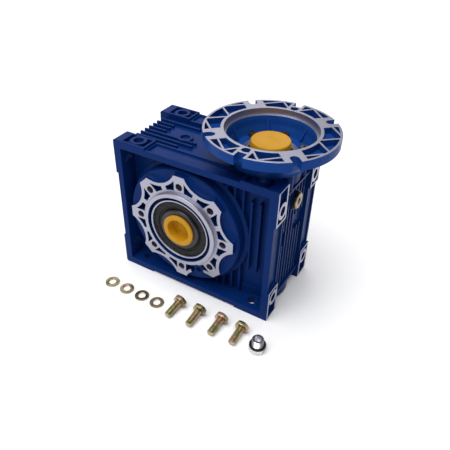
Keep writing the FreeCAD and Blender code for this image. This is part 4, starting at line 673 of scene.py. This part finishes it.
class REDUCER_OT_level_plug(bpy.types.Operator):
    """Model the oil plug with its hexagon socket"""
    bl_idname = "reducer.level_plug"
    bl_label = "Oil plug"

    def execute(self, context):
        low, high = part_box("level_plug")
        top, tip = high.x / MM, low.x / MM
        seat, thread_radius, head_radius = top - 3, 7.8, 11
        plug = turned([
            (0, tip), (thread_radius - 1, tip), (thread_radius, tip + 1), (thread_radius, seat),
            (head_radius, seat), (head_radius, top - 0.9), (head_radius - 0.9, top), (5.6, top),
            (5.2, top - 0.4), (0, top - 0.4),
        ], 72)
        combined(plug, prism(6, 8.0, top - 2.6, top + 1), "DIFFERENCE")
        softened(plug, 0.15)
        placed(plug, (0, 0, (low.z + high.z) / 2), X, 0.3)
        plate = nickel_plate("nickel_plate", tuple(context.scene.reducer_colours.nickel))
        fitted(plug, "hexagon_socket_plug", plate, "case", "level_plug")
        return {"FINISHED"}


class REDUCER_OT_loose_kit(bpy.types.Operator):
    """Model the washers and bolts that lie beside the reducer"""
    bl_idname = "reducer.loose_kit"
    bl_label = "Loose kit"

    def washers(self):
        """Four washers in a row on the ground."""
        hole, rim, thick = 5.25, 10, 2
        washer = turned([
            (hole, 0.15), (hole + 0.15, 0), (rim - 0.4, 0), (rim, 0.5), (rim, thick - 0.3),
            (rim - 0.3, thick), (hole + 0.35, thick), (hole, thick - 0.3), (hole, 0.15),
        ], 72)
        for k, x in enumerate((-89.4, -63.0, -36.1, -10.2)):
            piece = placed(copy_of(washer), Vector((x * MM, -114.8 * MM, GROUND)), Z, k)
            fitted(piece, f"washer_{k + 1}", zinc(), "case", "mounting_washers")
        bpy.data.objects.remove(washer)

    def bolts(self, pitch):
        """Four hexagon bolts, each lying on its thread and on the rim of its head."""
        # Width over the head's flats, shank radius, and heights of the head's underside and top
        across, shank, under, top = 17, 5.0, 25.4, 31.4
        head = combined(prism(6, across, under, top), turned([
            (0, under - 0.4), (8.4, under - 0.4), (9.9, under + 0.8), (9.9, top - 0.9), (8.3, top + 0.01),
            (0, top + 0.01)], 72), "INTERSECT")
        collar = turned([(0, under - 0.5), (8.1, under - 0.5), (8.1, under + 0.2), (0, under + 0.2)], 72)
        reach = under - 0.2
        rod = placed(thread(shank, 0.75, pitch, 0, reach), (0, 0, reach * MM), -Z)
        bolt = merged([rod, softened(head, 0.2), collar])
        alone(bolt)
        bpy.ops.object.transform_apply(location=True, rotation=True, scale=True)
        # The head is wider than the shank, so a bolt that lies down leans
        lean = math.atan((across / 2 - shank) / 25)
        # Where each bolt's tip and head end lie, as x and y
        rows = (((18.1, -129.5), (20.6, -98.4)), ((51.0, -128.8), (51.7, -96.9)),
                ((83.7, -126.3), (84.8, -96.1)), ((115.0, -125.5), (115.3, -94.5)))
        for k, (tip, end) in enumerate(rows):
            heading = math.atan2(end[1] - tip[1], end[0] - tip[0])
            turn = Matrix.Rotation(heading, 4, "Z") @ Matrix.Rotation(TURN / 4 - lean, 4, "Y")
            at = Vector((tip[0] * MM, tip[1] * MM, GROUND + shank * MM * math.cos(lean)))
            piece = copy_of(bolt)
            piece.matrix_world = Matrix.Translation(at) @ turn
            fitted(piece, f"bolt_{k + 1}", zinc(), "case", "mounting_bolts")
        bpy.data.objects.remove(bolt)

    def execute(self, context):
        self.washers()
        self.bolts(context.scene.reducer_sizes.bolt_pitch / MM)
        return {"FINISHED"}


class REDUCER_OT_breather(bpy.types.Operator):
    """Model the loose breather plug and its O-ring"""
    bl_idname = "reducer.breather"
    bl_label = "Breather plug"

    def execute(self, context):
        low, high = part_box("breather_plug")
        at = Vector(((low.x + high.x) / 2, (low.y + high.y) / 2, low.z))
        flats, collar_top, stem_top = 7, 8, 20
        bore, bore_floor = 9.4, 11
        head = combined(prism(6, 19, 0, flats), turned([
            (0, 0), (9.6, 0), (11.1, 1.2), (11.1, flats - 0.4), (10.7, flats), (0, flats)], 72), "INTERSECT")
        collar = softened(turned([
            (0, flats - 0.1), (11, flats - 0.1), (11, collar_top), (0, collar_top)], 72), 0.2)
        stem = thread(7.85, 0.8, context.scene.reducer_sizes.plug_pitch / MM, collar_top - 0.5, stem_top)
        combined(stem, prism(40, bore, bore_floor, stem_top + 1), "DIFFERENCE")
        plug = merged([softened(head, 0.2), collar, stem])
        placed(plug, at)
        silver = nickel_plate("bright_nickel_plate", linear("#dcdbe0"))
        fitted(plug, "threaded_breather_plug", silver, "case", "breather_plug")
        middle, wire, points = 9.45, 1.5, 20
        angles = [TURN * k / points for k in (*range(points), 0)]
        ring = turned([(middle + wire * math.cos(angle), wire * math.sin(angle)) for angle in angles], 64)
        placed(ring, at + Vector((0, 0, (collar_top + wire + 0.05) * MM)))
        fitted(ring, "rubber_breather_ring", rubber(), "case", "breather_o_ring")
        return {"FINISHED"}


class REDUCER_OT_stage(bpy.types.Operator):
    """Set up the floor, the lights and the camera"""
    bl_idname = "reducer.stage"
    bl_label = "Stage"

    def execute(self, context):
        clear()
        bpy.ops.mesh.primitive_plane_add(size=8, location=(0, 0, GROUND - 0.2 * MM))
        floor = bpy.context.object
        floor.name = "floor"
        material, tree = new_material("matt_white_floor")
        finish(tree, add(tree, "BsdfPrincipled", sockets={"Base Color": linear("#fafafb"), "Roughness": 0.7}))
        floor.data.materials.append(material)

        context.scene.view_settings.view_transform = "Standard"
        # A room that lights softly and shows white behind the floor's edge
        world = bpy.data.worlds.new("white_room")
        context.scene.world = world
        world.use_nodes = True
        tree = world.node_tree
        tree.nodes.clear()
        seen = add(tree, "LightPath").outputs["Is Camera Ray"]
        strength = add(tree, "MapRange", seen, 0.0, 1.0, 0.25, 1.0)
        add(tree, "OutputWorld", add(tree, "Background", (1, 1, 1, 1), strength))

        target = Vector((0.03, 0, 0))
        for name, kind, at, size, power in (
                ("ceiling", "SUN", (-0.1, -0.5, 2), math.radians(58), 2.95),
                ("front", "AREA", (-0.5, -1.3, 0.8), 0.6, 2),
                ("back", "AREA", (-0.9, 1.5, 1.3), 1.2, 6)):
            bpy.ops.object.light_add(type=kind, location=at)
            lamp = bpy.context.object
            lamp.name = name + "_light"
            lamp.data.energy = power
            if kind == "SUN":
                lamp.data.angle = size
            else:
                lamp.data.size = size
            lamp.rotation_euler = (target - Vector(at)).to_track_quat("-Z", "Y").to_euler()

        bpy.ops.object.camera_add()
        camera = bpy.context.object
        camera.name = "photograph_camera"
        camera.data.lens, camera.data.sensor_width = 40.007, 36
        camera.data.clip_start = 0.01
        at = Vector((0.30937, -0.49643, 0.40472))
        right, up = Vector((0.86232, 0.50577, 0.02440)), Vector((-0.32116, 0.50905, 0.79858))
        turn = Matrix((right, up, right.cross(up))).transposed()
        camera.matrix_world = Matrix.Translation(at) @ turn.to_4x4()
        context.scene.camera = camera
        return {"FINISHED"}


OPERATORS = (REDUCER_OT_castings, REDUCER_OT_shafts, REDUCER_OT_oil_seals, REDUCER_OT_caps, REDUCER_OT_screws,
             REDUCER_OT_level_plug, REDUCER_OT_loose_kit, REDUCER_OT_breather, REDUCER_OT_stage)


class REDUCER_PT_pieces(bpy.types.Panel):
    """The reducer's pieces, in the order they are made"""
    bl_label = "Worm gear reducer"
    bl_idname = "REDUCER_PT_pieces"
    bl_space_type = "VIEW_3D"
    bl_region_type = "UI"
    bl_category = "Reducer"

    def draw(self, context):
        for group in (context.scene.reducer_colours, context.scene.reducer_sizes):
            for name in group.__annotations__:
                self.layout.prop(group, name)
        for operator in OPERATORS:
            self.layout.operator(operator.bl_idname)


CLASSES = (ReducerColours, ReducerSizes, *OPERATORS, REDUCER_PT_pieces)


def register():
    """Register the classes and give the scene its settings."""
    for item in CLASSES:
        bpy.utils.register_class(item)
    bpy.types.Scene.reducer_colours = bpy.props.PointerProperty(type=ReducerColours)
    bpy.types.Scene.reducer_sizes = bpy.props.PointerProperty(type=ReducerSizes)


def unregister():
    """Take the settings and the classes back out."""
    del bpy.types.Scene.reducer_colours, bpy.types.Scene.reducer_sizes
    for item in reversed(CLASSES):
        bpy.utils.unregister_class(item)


def main():
    """Make every piece."""
    register()
    for operator in OPERATORS:
        group, name = operator.bl_idname.split(".")
        getattr(getattr(bpy.ops, group), name)()


if __name__ == "__main__":
    main()
